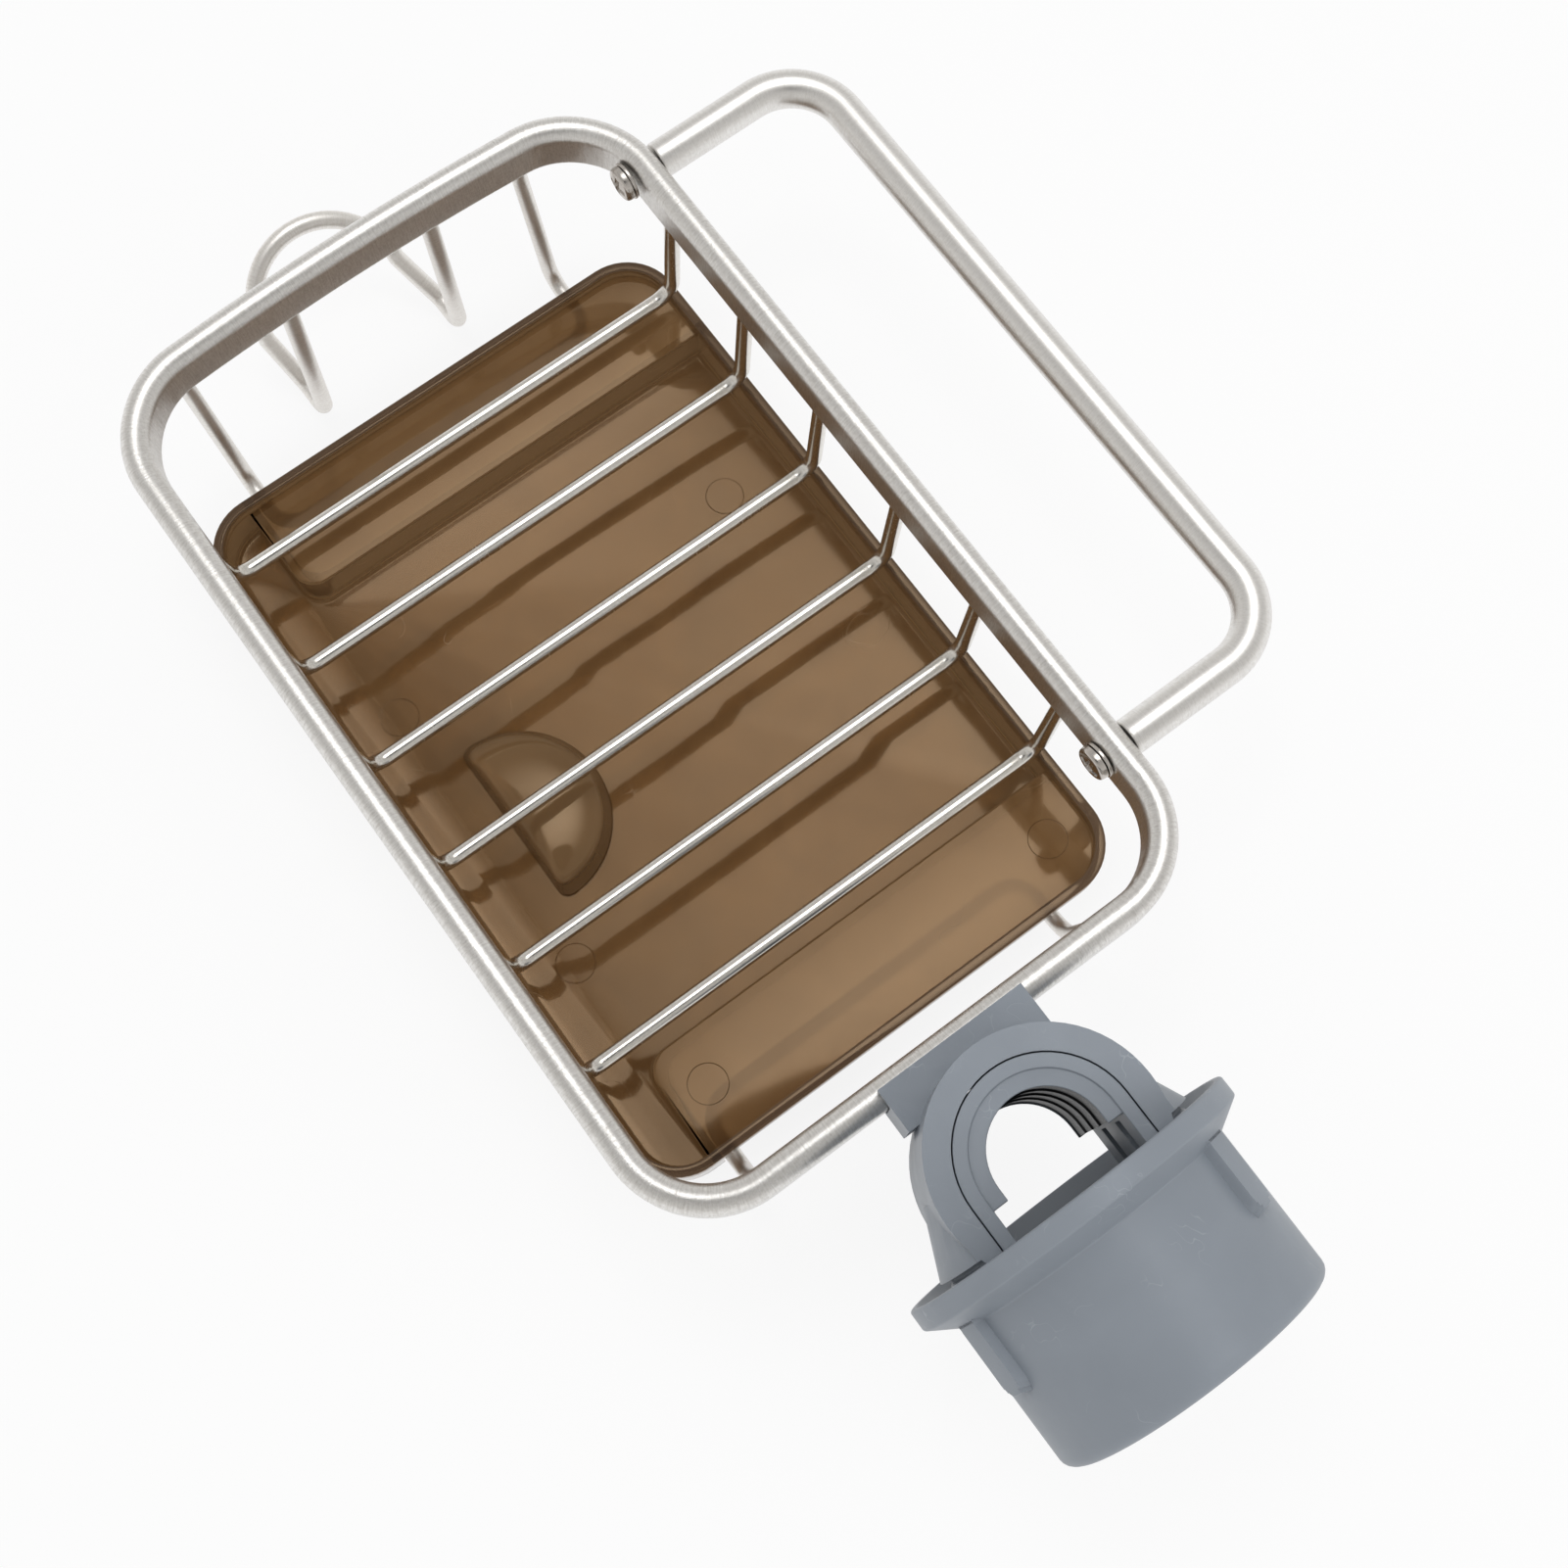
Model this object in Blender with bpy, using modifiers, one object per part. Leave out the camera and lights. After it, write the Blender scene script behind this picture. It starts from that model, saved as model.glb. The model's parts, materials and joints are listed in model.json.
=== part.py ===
"""Over-faucet sink caddy: a metal basket with a drip tray, a towel bar, a double hook and a faucet clamp.

Frame: metres, +Z up. The origin is the middle of the faucet hole, on its vertical axis.
+X runs from the hole into the clamp's knob, away from the basket. +Y runs to the towel bar.
"""
import math

import bmesh
import bpy
from mathutils import Matrix, Vector

# Fits
GAP = 0.0003                    # between two pieces that touch
OVERRUN = 0.002                 # how far a cutter runs past the face that it opens
WELD = 0.00001                  # merge distance for modifiers and caps

# Rim: a flattened tube bent to a rounded rectangle
RIM_LENGTH = 0.230
RIM_WIDTH = 0.141
RIM_CORNER = 0.0238             # outer corner radius
RIM_TUBE_WIDTH = 0.0067
RIM_TUBE_HEIGHT = 0.0118
RIM_FOOT_ROUND = 0.0012         # radius of the tube's lower edges
RIM_BOW = 0.0034                # how far the far short side bulges
RIM_DROP = 0.00435              # rim's mid-height below the middle of the faucet hole
RIM_TO_HOLE = 0.0254            # rim's near end to the faucet hole's axis

# Cross wires
CROSS_WIRES = 6
CROSS_WIRE = 0.0039             # diameter
CROSS_FAR_MARGIN = 0.0334       # rim's far end to the first wire
CROSS_NEAR_MARGIN = 0.0484      # last wire to the rim's near end
CROSS_DEPTH = 0.0438            # wire axis below the middle of the faucet hole
CROSS_BEND = 0.0060
CROSS_LEAN = 0.0020             # how far each leg leans in

# Tray
TRAY_END_GAP = 0.0039           # tray's short ends to the loops' legs
TRAY_SIDE_MARGIN = 0.0030       # tray's long sides inside the rim's outer sides
TRAY_HEIGHT = 0.0155
TRAY_WALL = 0.0026
TRAY_FLOOR = 0.0020
TRAY_UNDER_WIRES = 0.0016       # tray's top edge below the cross wires
SHELF_WIDTH = 0.0285            # raised shelf at each short end
SHELF_DROP = 0.0032             # shelf's face below the tray's top edge
SHELF_MARGIN = 0.0005           # end of the tray's front corner to the shelf
SHELF_CORNER = 0.0060
GRIP_LENGTH = 0.0460            # half-moon grip in the floor
GRIP_REACH = 0.0250
GRIP_HEIGHT = 0.0085
GRIP_FRONT = 0.0213             # tray's front edge to the grip's flat side
GRIP_SHIFT = 0.0043             # grip's middle off the tray's, to the clamp
GRIP_SLOPE_SHARE = 0.28         # how much smaller the grip's top is than its foot

# Tray loops, one at each short end
LOOP_WIRE = 0.0040
LOOP_FRONT = 0.0194             # front leg to the tray's front edge
LOOP_BACK = 0.0224              # back leg to the tray's back edge
LOOP_BEND = 0.0070
LOOP_INSET = 0.0060             # how far the near legs lean in from the rim's middle
LOOP_FAR_INSET = 0.0036
LOOP_TONGUE = 0.0180            # how far the loop reaches in under the shelf

# Ends of the welded wires
STUB = 0.0030                   # straight piece under the rim
STUB_BEND = 0.0100

# Double hook
HOOK_WIRE = 0.0044
HOOK_SPREAD = 0.0390            # between the legs at the rim
HOOK_SHIFT = 0.0008             # legs' middle at the rim, to the towel bar
HOOK_LOW_SPREAD = 0.0412        # between the two bends
HOOK_LOW_SHIFT = -0.0013
HOOK_LEAN = 0.0014              # how far the legs lean in under the basket
HOOK_DEPTH = 0.0578             # lowest point of the wire's axis
HOOK_BEND = 0.0043              # half the distance between a leg and its strand
HOOK_BEND_SHARE = 0.98          # bend's radius, so that the two bends don't meet
HOOK_ARCH = 0.0195              # radius of the arch that joins the two strands
HOOK_ARCH_SHIFT = -0.0034       # arch's middle off the bends' middle
HOOK_ARCH_TOP = 0.0318          # arch's top below the middle of the faucet hole
HOOK_TILT = math.radians(41.8)

# Towel bar
BAR_TUBE = 0.0088
BAR_FAR_INSET = 0.0232          # far leg from the rim's far end
BAR_NEAR_INSET = 0.0325         # near leg from the rim's near end
BAR_STANDOFF = 0.0436           # long side's axis beyond the rim
BAR_BEND = 0.0157

# Screws through the rim
SCREW_HEAD = 0.0084             # diameter
SCREW_HEAD_HEIGHT = 0.0022
SCREW_SHANK = 0.0040
SCREW_GRIP = 0.0080             # shank beyond the rim
SCREW_CLEARANCE = 0.0003        # radial, round the shank
SCREW_RECESS_WIDTH = 0.0012
SCREW_RECESS_LENGTH = 0.0048
SCREW_RECESS_DEPTH = 0.0012
WASHER_SIZE = 0.0090
WASHER_THICKNESS = 0.0008
CLAMP_SCREW_SPREAD = 0.0180
CLAMP_SCREW_DROP = 0.0010       # screws below the rim's mid-height
CLAMP_SCREW_HEAD = 0.0064       # countersunk, flush with the rim's inner wall
CLAMP_SCREW_RECESS = 0.0030

# Clamp body
CLAMP_HEIGHT = 0.0396
RING_RADIUS = 0.0246
SLOT_RADIUS = 0.0190            # bore and slot that take the liner
SHOULDER = 0.0083               # hole's axis to the end of the wide arms
FLARE_STEP = 0.00078            # flare's end within the ring's corners
FLARE_START = 0.0055            # where the flare starts, on the basket's side of the hole
THREAD_STEP = 0.00198           # thread's crest within the ring's corners
THREAD_FLAT_DROP = 0.0018       # threaded arms' flats below the ring's ends
THREAD_END = 0.0320             # hole's axis to the end of the arms
THREAD_PITCH = 0.0050
THREAD_DEPTH = 0.0009
THREAD_RIDGE_SHARES = (0.85, 0.65, 0.40, 0.20)    # root, crest, crest, root along one pitch
BLOCK_WIDTH = 0.0365
BLOCK_LIP = 0.0029              # block above and below the rim
BLOCK_COVER = 0.0040            # how far the block reaches over the rim
BLOCK_EDGE = 0.0006

# Liner in the ring, and its rubber pad
HOLE_RADIUS = 0.0122
LINER_END = 0.00275             # hole's axis to the end of the liner's thick part
LINER_LIP = 0.0010
LINER_STEP = 0.0005
TAIL_WIDTH = 0.0030
TAIL_END = 0.0240
TAIL_GROOVE = 0.0050            # height of a guide groove
TAIL_GROOVE_DEPTH = 0.0012
TAIL_GROOVE_PLACE = 0.0085      # groove's middle, above and below the axis
PAD_THICKNESS = 0.0013
PAD_RIDGE = 0.0004
PAD_RIDGES = 3

# Moving jaw, inside the knob
JAW_FACE = 0.0142               # hole's axis to the jaw plate
JAW_TONGUE_SETBACK = 0.0015     # tongue behind the jaw plate's face
JAW_PLATE = 0.0060
JAW_HEIGHT = 0.0330
JAW_PAD = 0.0010
JAW_PAD_WIDTH = 0.0220
JAW_PAD_HEIGHT = 0.0280
JAW_STEM = 0.0050               # radius
JAW_STEM_END = 0.0400
JAW_PLAY = 0.0004               # jaw in its guides

# Knob
KNOB_MOUTH = 0.0089             # hole's axis to the knob's open end
KNOB_LENGTH = 0.0417
KNOB_FLANGE_RISE = 0.0065       # flange beyond the neck
KNOB_FLANGE_LIP = 0.0045        # straight part of the flange
KNOB_FLANGE_CONE = 0.0040
KNOB_NECK_MARGIN = 0.00022      # neck's outside over the mouth's bore, which ends before it
KNOB_TAPER = 0.0002             # how much smaller the closed end is than the neck
KNOB_END_ROUND = 0.0025
KNOB_WALL = 0.0024
KNOB_MOUTH_WALL = 0.0016
KNOB_MOUTH_CONE = 0.0060
KNOB_MOUTH_DEPTH = 0.0078       # knob without thread, so that it can run over the ring
KNOB_BOSS_WALL = 0.0025
KNOB_BOSS_START = 0.0130        # mouth to the end of the inner boss
KNOB_RIBS = 3
KNOB_RIB_WIDTH = 0.0068
KNOB_RIB_LENGTH = 0.0176
KNOB_RIB_HEIGHT = 0.0022
KNOB_RIB_ANGLE = math.radians(39.6)    # first rib, from the towel bar's side upward

# Facets
ROUND_STEPS = 64
SMALL_STEPS = 24
CORNER_STEPS = 9
TUBE_SIDES = 3                  # bevel resolution of a wire
HALF_STEPS = ROUND_STEPS // 2
ARCH_STEPS = 14
GRIP_STEPS = 18
TOP_STEPS = 10
BEND_STEPS = 6

# Places that follow from the sizes above
RIM_MIDDLE_X = -RIM_TO_HOLE - RIM_LENGTH / 2
RIM_TOP_Z = -RIM_DROP + RIM_TUBE_HEIGHT / 2
RIM_FOOT_Z = -RIM_DROP - RIM_TUBE_HEIGHT / 2
RIM_INNER_Y = RIM_WIDTH / 2 - RIM_TUBE_WIDTH
RIM_AXIS_Y = RIM_WIDTH / 2 - RIM_TUBE_WIDTH / 2
RIM_WALL_X = -RIM_TO_HOLE - RIM_TUBE_WIDTH
CROSS_PITCH = (RIM_LENGTH - CROSS_FAR_MARGIN - CROSS_NEAR_MARGIN) / (CROSS_WIRES - 1)
BAR_REACH = RIM_WIDTH / 2 + BAR_STANDOFF
CLAMP_SCREW_Z = -RIM_DROP - CLAMP_SCREW_DROP
LOOP_LEG_X = RIM_LENGTH / 2 - RIM_TUBE_WIDTH / 2 - LOOP_INSET
LOOP_FAR_LEG_X = RIM_LENGTH / 2 - RIM_TUBE_WIDTH / 2 - LOOP_FAR_INSET
TRAY_LENGTH = 2 * (LOOP_LEG_X - LOOP_WIRE / 2 - TRAY_END_GAP)
TRAY_WIDTH = RIM_WIDTH - 2 * TRAY_SIDE_MARGIN
TRAY_TOP_Z = -CROSS_DEPTH - CROSS_WIRE / 2 - TRAY_UNDER_WIRES
TRAY_FOOT_Z = TRAY_TOP_Z - TRAY_HEIGHT
SHELF_Z = TRAY_TOP_Z - SHELF_DROP
LOOP_Z = SHELF_Z - TRAY_FLOOR - GAP - LOOP_WIRE / 2
LOOP_FRONT_Y = LOOP_FRONT - TRAY_WIDTH / 2
LOOP_BACK_Y = TRAY_WIDTH / 2 - LOOP_BACK
POCKET_FRONT_Y = LOOP_FRONT_Y - LOOP_WIRE / 2 - GAP
SHELF_FRONT_Y = POCKET_FRONT_Y - TRAY_WALL
TRAY_CORNER = SHELF_FRONT_Y + TRAY_WIDTH / 2 - SHELF_MARGIN
SHANK_BORE = SCREW_SHANK / 2 + SCREW_CLEARANCE
LINER_OUTER = SLOT_RADIUS - GAP
PAD_SEAT = HOLE_RADIUS + PAD_THICKNESS
TAIL_INNER = LINER_OUTER - TAIL_WIDTH
RING_CORNER = math.hypot(RING_RADIUS, CLAMP_HEIGHT / 2)
FLARE_RADIUS = RING_CORNER - FLARE_STEP
THREAD_RADIUS = RING_CORNER - THREAD_STEP
THREAD_FLAT = CLAMP_HEIGHT / 2 - THREAD_FLAT_DROP
KNOB_BORE = THREAD_RADIUS + 2 * GAP
KNOB_COUNTERBORE = RING_CORNER + 2 * GAP
KNOB_NECK_RADIUS = KNOB_COUNTERBORE + KNOB_NECK_MARGIN
KNOB_END_RADIUS = KNOB_NECK_RADIUS - KNOB_TAPER
KNOB_FLANGE_RADIUS = KNOB_NECK_RADIUS + KNOB_FLANGE_RISE

MATERIALS = {}
PIECES = None
CUTTERS = None


def clear_scene():
    """Remove every object that the scene starts with."""
    for obj in list(bpy.data.objects):
        bpy.data.objects.remove(obj, do_unlink=True)


def make_collection(name):
    """Add an empty collection to the scene."""
    collection = bpy.data.collections.new(name)
    bpy.context.scene.collection.children.link(collection)
    return collection


def material(name, colour, roughness, metallic):
    """Return the named Principled material, made on its first use."""
    if name not in MATERIALS:
        made = bpy.data.materials.new(name)
        made.use_nodes = True
        shader = made.node_tree.nodes["Principled BSDF"]
        shader.inputs["Base Color"].default_value = (*colour, 1.0)
        shader.inputs["Roughness"].default_value = roughness
        shader.inputs["Metallic"].default_value = metallic
        made.diffuse_color = (*colour, 1.0)
        MATERIALS[name] = made
    return MATERIALS[name]


def satin_aluminium():
    """Blasted aluminium of the rim and the towel bar."""
    return material("satin_aluminium", (0.74, 0.73, 0.71), 0.38, 1.0)


def bright_wire():
    """Plated steel wire."""
    return material("bright_wire", (0.78, 0.77, 0.74), 0.22, 1.0)


def polished_steel():
    """Screws and washers."""
    return material("polished_steel", (0.66, 0.63, 0.60), 0.16, 1.0)


def clamp_plastic():
    """Matte blue-grey plastic of the clamp."""
    return material("clamp_plastic", (0.26, 0.29, 0.33), 0.50, 0.0)


def black_rubber():
    """Rubber of the two pads."""
    return material("black_rubber", (0.02, 0.02, 0.02), 0.75, 0.0)


def smoke_plastic():
    """Smoky brown plastic of the tray."""
    return material("smoke_plastic", (0.20, 0.12, 0.06), 0.12, 0.0)


def place(obj, collection, finish=None):
    """Move an object into a collection and give it its material."""
    for owner in list(obj.users_collection):
        owner.objects.unlink(obj)
    collection.objects.link(obj)
    if finish is not None:
        obj.data.materials.clear()
        obj.data.materials.append(finish)
    return obj


def smooth(obj, degrees=35.0):
    """Shade round faces smooth and keep the sharp edges."""
    obj.data.shade_smooth()
    obj.data.set_sharp_from_angle(angle=math.radians(degrees))
    return obj


def as_cutter(obj):
    """Put a cutter or a guide out of the render."""
    place(obj, CUTTERS)
    obj.hide_render = True
    obj.display_type = 'WIRE'
    return obj


def mesh_object(name, mesh):
    """Wrap a mesh in an object."""
    obj = bpy.data.objects.new(name, mesh)
    PIECES.objects.link(obj)
    return obj


def outline_object(name, outline, z_low, z_high):
    """A flat outline in XY, extruded from z_low to z_high, as a closed mesh."""
    curve = bpy.data.curves.new(name, 'CURVE')
    curve.dimensions = '2D'
    curve.fill_mode = 'BOTH'
    curve.extrude = (z_high - z_low) / 2
    spline = curve.splines.new('POLY')
    spline.points.add(len(outline) - 1)
    for point, (x, y) in zip(spline.points, outline):
        point.co = (x, y, 0.0, 1.0)
    spline.use_cyclic_u = True
    obj = mesh_object(name, curve)
    obj.location.z = (z_low + z_high) / 2
    return curve_to_mesh(obj)


def curve_to_mesh(obj):
    """Turn a curve object into a welded mesh object with its place kept in the mesh."""
    name = obj.name
    bpy.context.view_layer.update()
    graph = bpy.context.evaluated_depsgraph_get()
    mesh = bpy.data.meshes.new_from_object(obj.evaluated_get(graph))
    mesh.transform(obj.matrix_world)
    bm = bmesh.new()
    bm.from_mesh(mesh)
    bmesh.ops.remove_doubles(bm, verts=bm.verts, dist=WELD)
    bmesh.ops.recalc_face_normals(bm, faces=bm.faces)
    bm.to_mesh(mesh)
    bm.free()
    bpy.data.objects.remove(obj, do_unlink=True)
    return mesh_object(name, mesh)


def box(name, low, high):
    """A box between two corners."""
    bm = bmesh.new()
    size = Vector(high) - Vector(low)
    stretch = Matrix.Translation((Vector(high) + Vector(low)) / 2) @ Matrix.Diagonal((*size, 1.0))
    bmesh.ops.create_cube(bm, size=1.0, matrix=stretch)
    mesh = bpy.data.meshes.new(name)
    bm.to_mesh(mesh)
    bm.free()
    return mesh_object(name, mesh)


def axis_turn(axis):
    """Rotation that takes +Z to the named axis."""
    turns = {'X': Matrix.Rotation(math.pi / 2, 4, 'Y'), 'Y': Matrix.Rotation(-math.pi / 2, 4, 'X'),
             'Z': Matrix.Identity(4)}
    return turns[axis]


def rod(name, start, length, radius, axis, steps=ROUND_STEPS, end_radius=None):
    """A cylinder or cone from a start point along an axis."""
    end_radius = radius if end_radius is None else end_radius
    bm = bmesh.new()
    place_at = Matrix.Translation(start) @ axis_turn(axis) @ Matrix.Translation((0.0, 0.0, length / 2))
    bmesh.ops.create_cone(bm, cap_ends=True, segments=steps, radius1=radius, radius2=end_radius,
                          depth=length, matrix=place_at)
    mesh = bpy.data.meshes.new(name)
    bm.to_mesh(mesh)
    bm.free()
    return mesh_object(name, mesh)


def turned(name, profile, steps=ROUND_STEPS):
    """Turn a closed profile of (along, radius) points about the X axis with a Screw modifier."""
    mesh = bpy.data.meshes.new(name)
    vertices = [(radius, 0.0, along) for along, radius in profile]
    edges = [(i, (i + 1) % len(vertices)) for i in range(len(vertices))]
    if profile[0][1] == 0.0 and profile[-1][1] == 0.0:
        edges = edges[:-1]
    mesh.from_pydata(vertices, edges, [])
    obj = mesh_object(name, mesh)
    screw = obj.modifiers.new("turn", 'SCREW')
    screw.axis = 'Z'
    screw.steps = steps
    screw.render_steps = steps
    screw.use_merge_vertices = True
    screw.merge_threshold = WELD
    screw.use_normal_calculate = True
    obj.matrix_world = axis_turn('X')
    return bake(obj)


def bake(obj):
    """Apply an object's modifiers and its place to its mesh."""
    name = obj.name
    bpy.context.view_layer.update()
    graph = bpy.context.evaluated_depsgraph_get()
    mesh = bpy.data.meshes.new_from_object(obj.evaluated_get(graph))
    mesh.transform(obj.matrix_world)
    bm = bmesh.new()
    bm.from_mesh(mesh)
    bmesh.ops.remove_doubles(bm, verts=bm.verts, dist=WELD)
    bmesh.ops.recalc_face_normals(bm, faces=bm.faces)
    bm.to_mesh(mesh)
    bm.free()
    bpy.data.objects.remove(obj, do_unlink=True)
    baked = mesh_object(name, mesh)
    baked.name = name
    return baked


def combine(obj, tool, operation):
    """Join a tool to an object, or cut it away, and keep the tool as a cutter."""
    as_cutter(tool)
    step = obj.modifiers.new(tool.name, 'BOOLEAN')
    step.operation = operation
    step.solver = 'EXACT'
    step.object = tool
    return obj


def join(obj, *tools):
    """Unite tools with an object."""
    for tool in tools:
        combine(obj, tool, 'UNION')
    return obj


def cut(obj, *tools):
    """Cut tools out of an object."""
    for tool in tools:
        combine(obj, tool, 'DIFFERENCE')
    return obj


def arc(centre, radius, start, end, steps):
    """Points on a circle in the XY plane, both ends included."""
    angles = [start + (end - start) * i / steps for i in range(steps + 1)]
    return [(centre[0] + radius * math.cos(a), centre[1] + radius * math.sin(a)) for a in angles]


def rounded_rectangle(length, width, radius, centre=(0.0, 0.0), steps=CORNER_STEPS):
    """Outline of a rectangle with four round corners."""
    points = []
    for turn, (sx, sy) in enumerate(((1, 1), (-1, 1), (-1, -1), (1, -1))):
        corner = (centre[0] + sx * (length / 2 - radius), centre[1] + sy * (width / 2 - radius))
        points += arc(corner, radius, turn * math.pi / 2, (turn + 1) * math.pi / 2, steps)
    return points


def rounded_path(corners, radii, steps=BEND_STEPS):
    """A 3-D path through corner points, with an arc of the given radius at each inner corner."""
    corners = [Vector(c) for c in corners]
    path = [corners[0]]
    for i in range(1, len(corners) - 1):
        here = corners[i]
        before = (corners[i - 1] - here).normalized()
        after = (corners[i + 1] - here).normalized()
        half = before.angle(after) / 2
        reach = radii[i - 1] / math.tan(half)
        centre = here + (before + after).normalized() * (radii[i - 1] / math.sin(half))
        first = here + before * reach - centre
        last = here + after * reach - centre
        sweep = first.angle(last)
        axis = first.cross(last).normalized()
        for k in range(steps + 1):
            path.append(centre + Matrix.Rotation(sweep * k / steps, 4, axis).to_3x3() @ first)
    path.append(corners[-1])
    return path


def wire(name, path, diameter, sides=TUBE_SIDES):
    """A round wire with filled ends along a path."""
    curve = bpy.data.curves.new(name, 'CURVE')
    curve.dimensions = '3D'
    curve.bevel_depth = diameter / 2
    curve.bevel_resolution = sides
    curve.use_fill_caps = True
    spline = curve.splines.new('POLY')
    spline.points.add(len(path) - 1)
    for point, place_at in zip(spline.points, path):
        point.co = (*place_at, 1.0)
    return mesh_object(name, curve)


def bow(x, y):
    """How far the rim's path bulges at a place, measured from the rim's middle."""
    start = RIM_LENGTH / 2 - RIM_CORNER
    weight = min(1.0, max(0.0, (-x - start) / (RIM_CORNER - RIM_TUBE_WIDTH / 2)))
    spread = min(1.0, abs(y) / (RIM_WIDTH / 2))
    return RIM_BOW * weight * (1.0 - spread * spread)


def rim_axis_x(side, y):
    """X of the rim tube's middle on a short side: -1 is the far side, 1 the near side."""
    local = side * (RIM_LENGTH / 2 - RIM_TUBE_WIDTH / 2)
    return RIM_MIDDLE_X + local - bow(local, y)


def rim_profile():
    """Cross-section of the flattened tube: round on top, flat sides, small round feet."""
    half = RIM_TUBE_WIDTH / 2
    top = RIM_TUBE_HEIGHT / 2 - half
    foot = -RIM_TUBE_HEIGHT / 2 + RIM_FOOT_ROUND
    points = arc((0.0, top), half, 0.0, math.pi, TOP_STEPS)
    points += arc((-half + RIM_FOOT_ROUND, foot), RIM_FOOT_ROUND, math.pi, math.pi * 3 / 2, 2)
    points += arc((half - RIM_FOOT_ROUND, foot), RIM_FOOT_ROUND, math.pi * 3 / 2, math.pi * 2, 2)
    return points


def far_side_points(steps=8):
    """Extra points on the far straight, so that it can bulge."""
    end = RIM_WIDTH / 2 - RIM_CORNER
    return [(-RIM_LENGTH / 2 + RIM_TUBE_WIDTH / 2, end - 2 * end * i / steps) for i in range(1, steps)]


def build_rim():
    """The rim, swept along its rounded path and drilled for its screws."""
    profile = bpy.data.curves.new("rim_profile", 'CURVE')
    profile.dimensions = '2D'
    section = profile.splines.new('POLY')
    points = rim_profile()
    section.points.add(len(points) - 1)
    for point, (x, y) in zip(section.points, points):
        point.co = (x, y, 0.0, 1.0)
    section.use_cyclic_u = True
    guide = as_cutter(mesh_object("rim_profile_guide", profile))

    inset = RIM_TUBE_WIDTH / 2
    outline = rounded_rectangle(RIM_LENGTH - 2 * inset, RIM_WIDTH - 2 * inset, RIM_CORNER - inset)
    corner_points = CORNER_STEPS + 1
    outline = outline[:2 * corner_points] + far_side_points() + outline[2 * corner_points:]
    curve = bpy.data.curves.new("rim", 'CURVE')
    curve.dimensions = '2D'
    curve.fill_mode = 'NONE'
    curve.bevel_mode = 'OBJECT'
    curve.bevel_object = guide
    spline = curve.splines.new('POLY')
    spline.points.add(len(outline) - 1)
    for point, (x, y) in zip(spline.points, outline):
        point.co = (RIM_MIDDLE_X + x - bow(x, y), y, 0.0, 1.0)
    spline.use_cyclic_u = True
    rim = mesh_object("rim_frame", curve)
    rim.location.z = -RIM_DROP
    rim = curve_to_mesh(rim)
    through = RIM_TUBE_WIDTH + 2 * OVERRUN
    for number, x in enumerate(bar_leg_places(), 1):
        start = (x, RIM_INNER_Y - OVERRUN, -RIM_DROP)
        cut(rim, rod(f"rim_bar_hole_{number}", start, through, SHANK_BORE, 'Y', SMALL_STEPS))
    for number, y in enumerate(clamp_screw_places(), 1):
        start = (RIM_WALL_X - OVERRUN, y, CLAMP_SCREW_Z)
        cut(rim, rod(f"rim_clamp_hole_{number}", start, through, SHANK_BORE, 'X', SMALL_STEPS))
        sink = (CLAMP_SCREW_HEAD - SCREW_SHANK) / 2 + OVERRUN
        wide = SHANK_BORE + sink
        cut(rim, rod(f"rim_countersink_{number}", start, sink, wide, 'X', SMALL_STEPS, SHANK_BORE))
    place(rim, PIECES, satin_aluminium())
    return smooth(rim)


def build_cross_wires():
    """Six U-shaped wires between the long sides, evenly spaced."""
    foot = RIM_FOOT_Z - GAP
    low_y = RIM_AXIS_Y - CROSS_LEAN
    bends = (STUB_BEND, CROSS_BEND, CROSS_BEND, STUB_BEND)
    for number in range(CROSS_WIRES):
        x = RIM_MIDDLE_X - RIM_LENGTH / 2 + CROSS_FAR_MARGIN + CROSS_PITCH * number
        corners = [(x, -RIM_AXIS_Y, foot), (x, -RIM_AXIS_Y, foot - STUB), (x, -low_y, -CROSS_DEPTH),
                   (x, low_y, -CROSS_DEPTH), (x, RIM_AXIS_Y, foot - STUB), (x, RIM_AXIS_Y, foot)]
        made = wire(f"cross_wire_{number + 1}", rounded_path(corners, bends), CROSS_WIRE)
        place(made, PIECES, bright_wire())


def build_tray_loops():
    """A wire loop at each short end, which carries the tray's shelf."""
    foot = RIM_FOOT_Z - GAP
    ends = (LOOP_FRONT_Y, LOOP_BACK_Y)
    bends = (STUB_BEND, LOOP_BEND, LOOP_BEND, LOOP_BEND, LOOP_BEND, STUB_BEND)
    for side, label, reach in ((-1, "far", LOOP_FAR_LEG_X), (1, "near", LOOP_LEG_X)):
        top = [rim_axis_x(side, y) for y in ends]
        low = RIM_MIDDLE_X + side * reach
        tip = low - side * LOOP_TONGUE
        corners = [(top[0], ends[0], foot), (top[0], ends[0], foot - STUB), (low, ends[0], LOOP_Z),
                   (tip, ends[0], LOOP_Z), (tip, ends[1], LOOP_Z), (low, ends[1], LOOP_Z),
                   (top[1], ends[1], foot - STUB), (top[1], ends[1], foot)]
        made = wire(f"tray_loop_{label}", rounded_path(corners, bends), LOOP_WIRE)
        place(made, PIECES, bright_wire())


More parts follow.
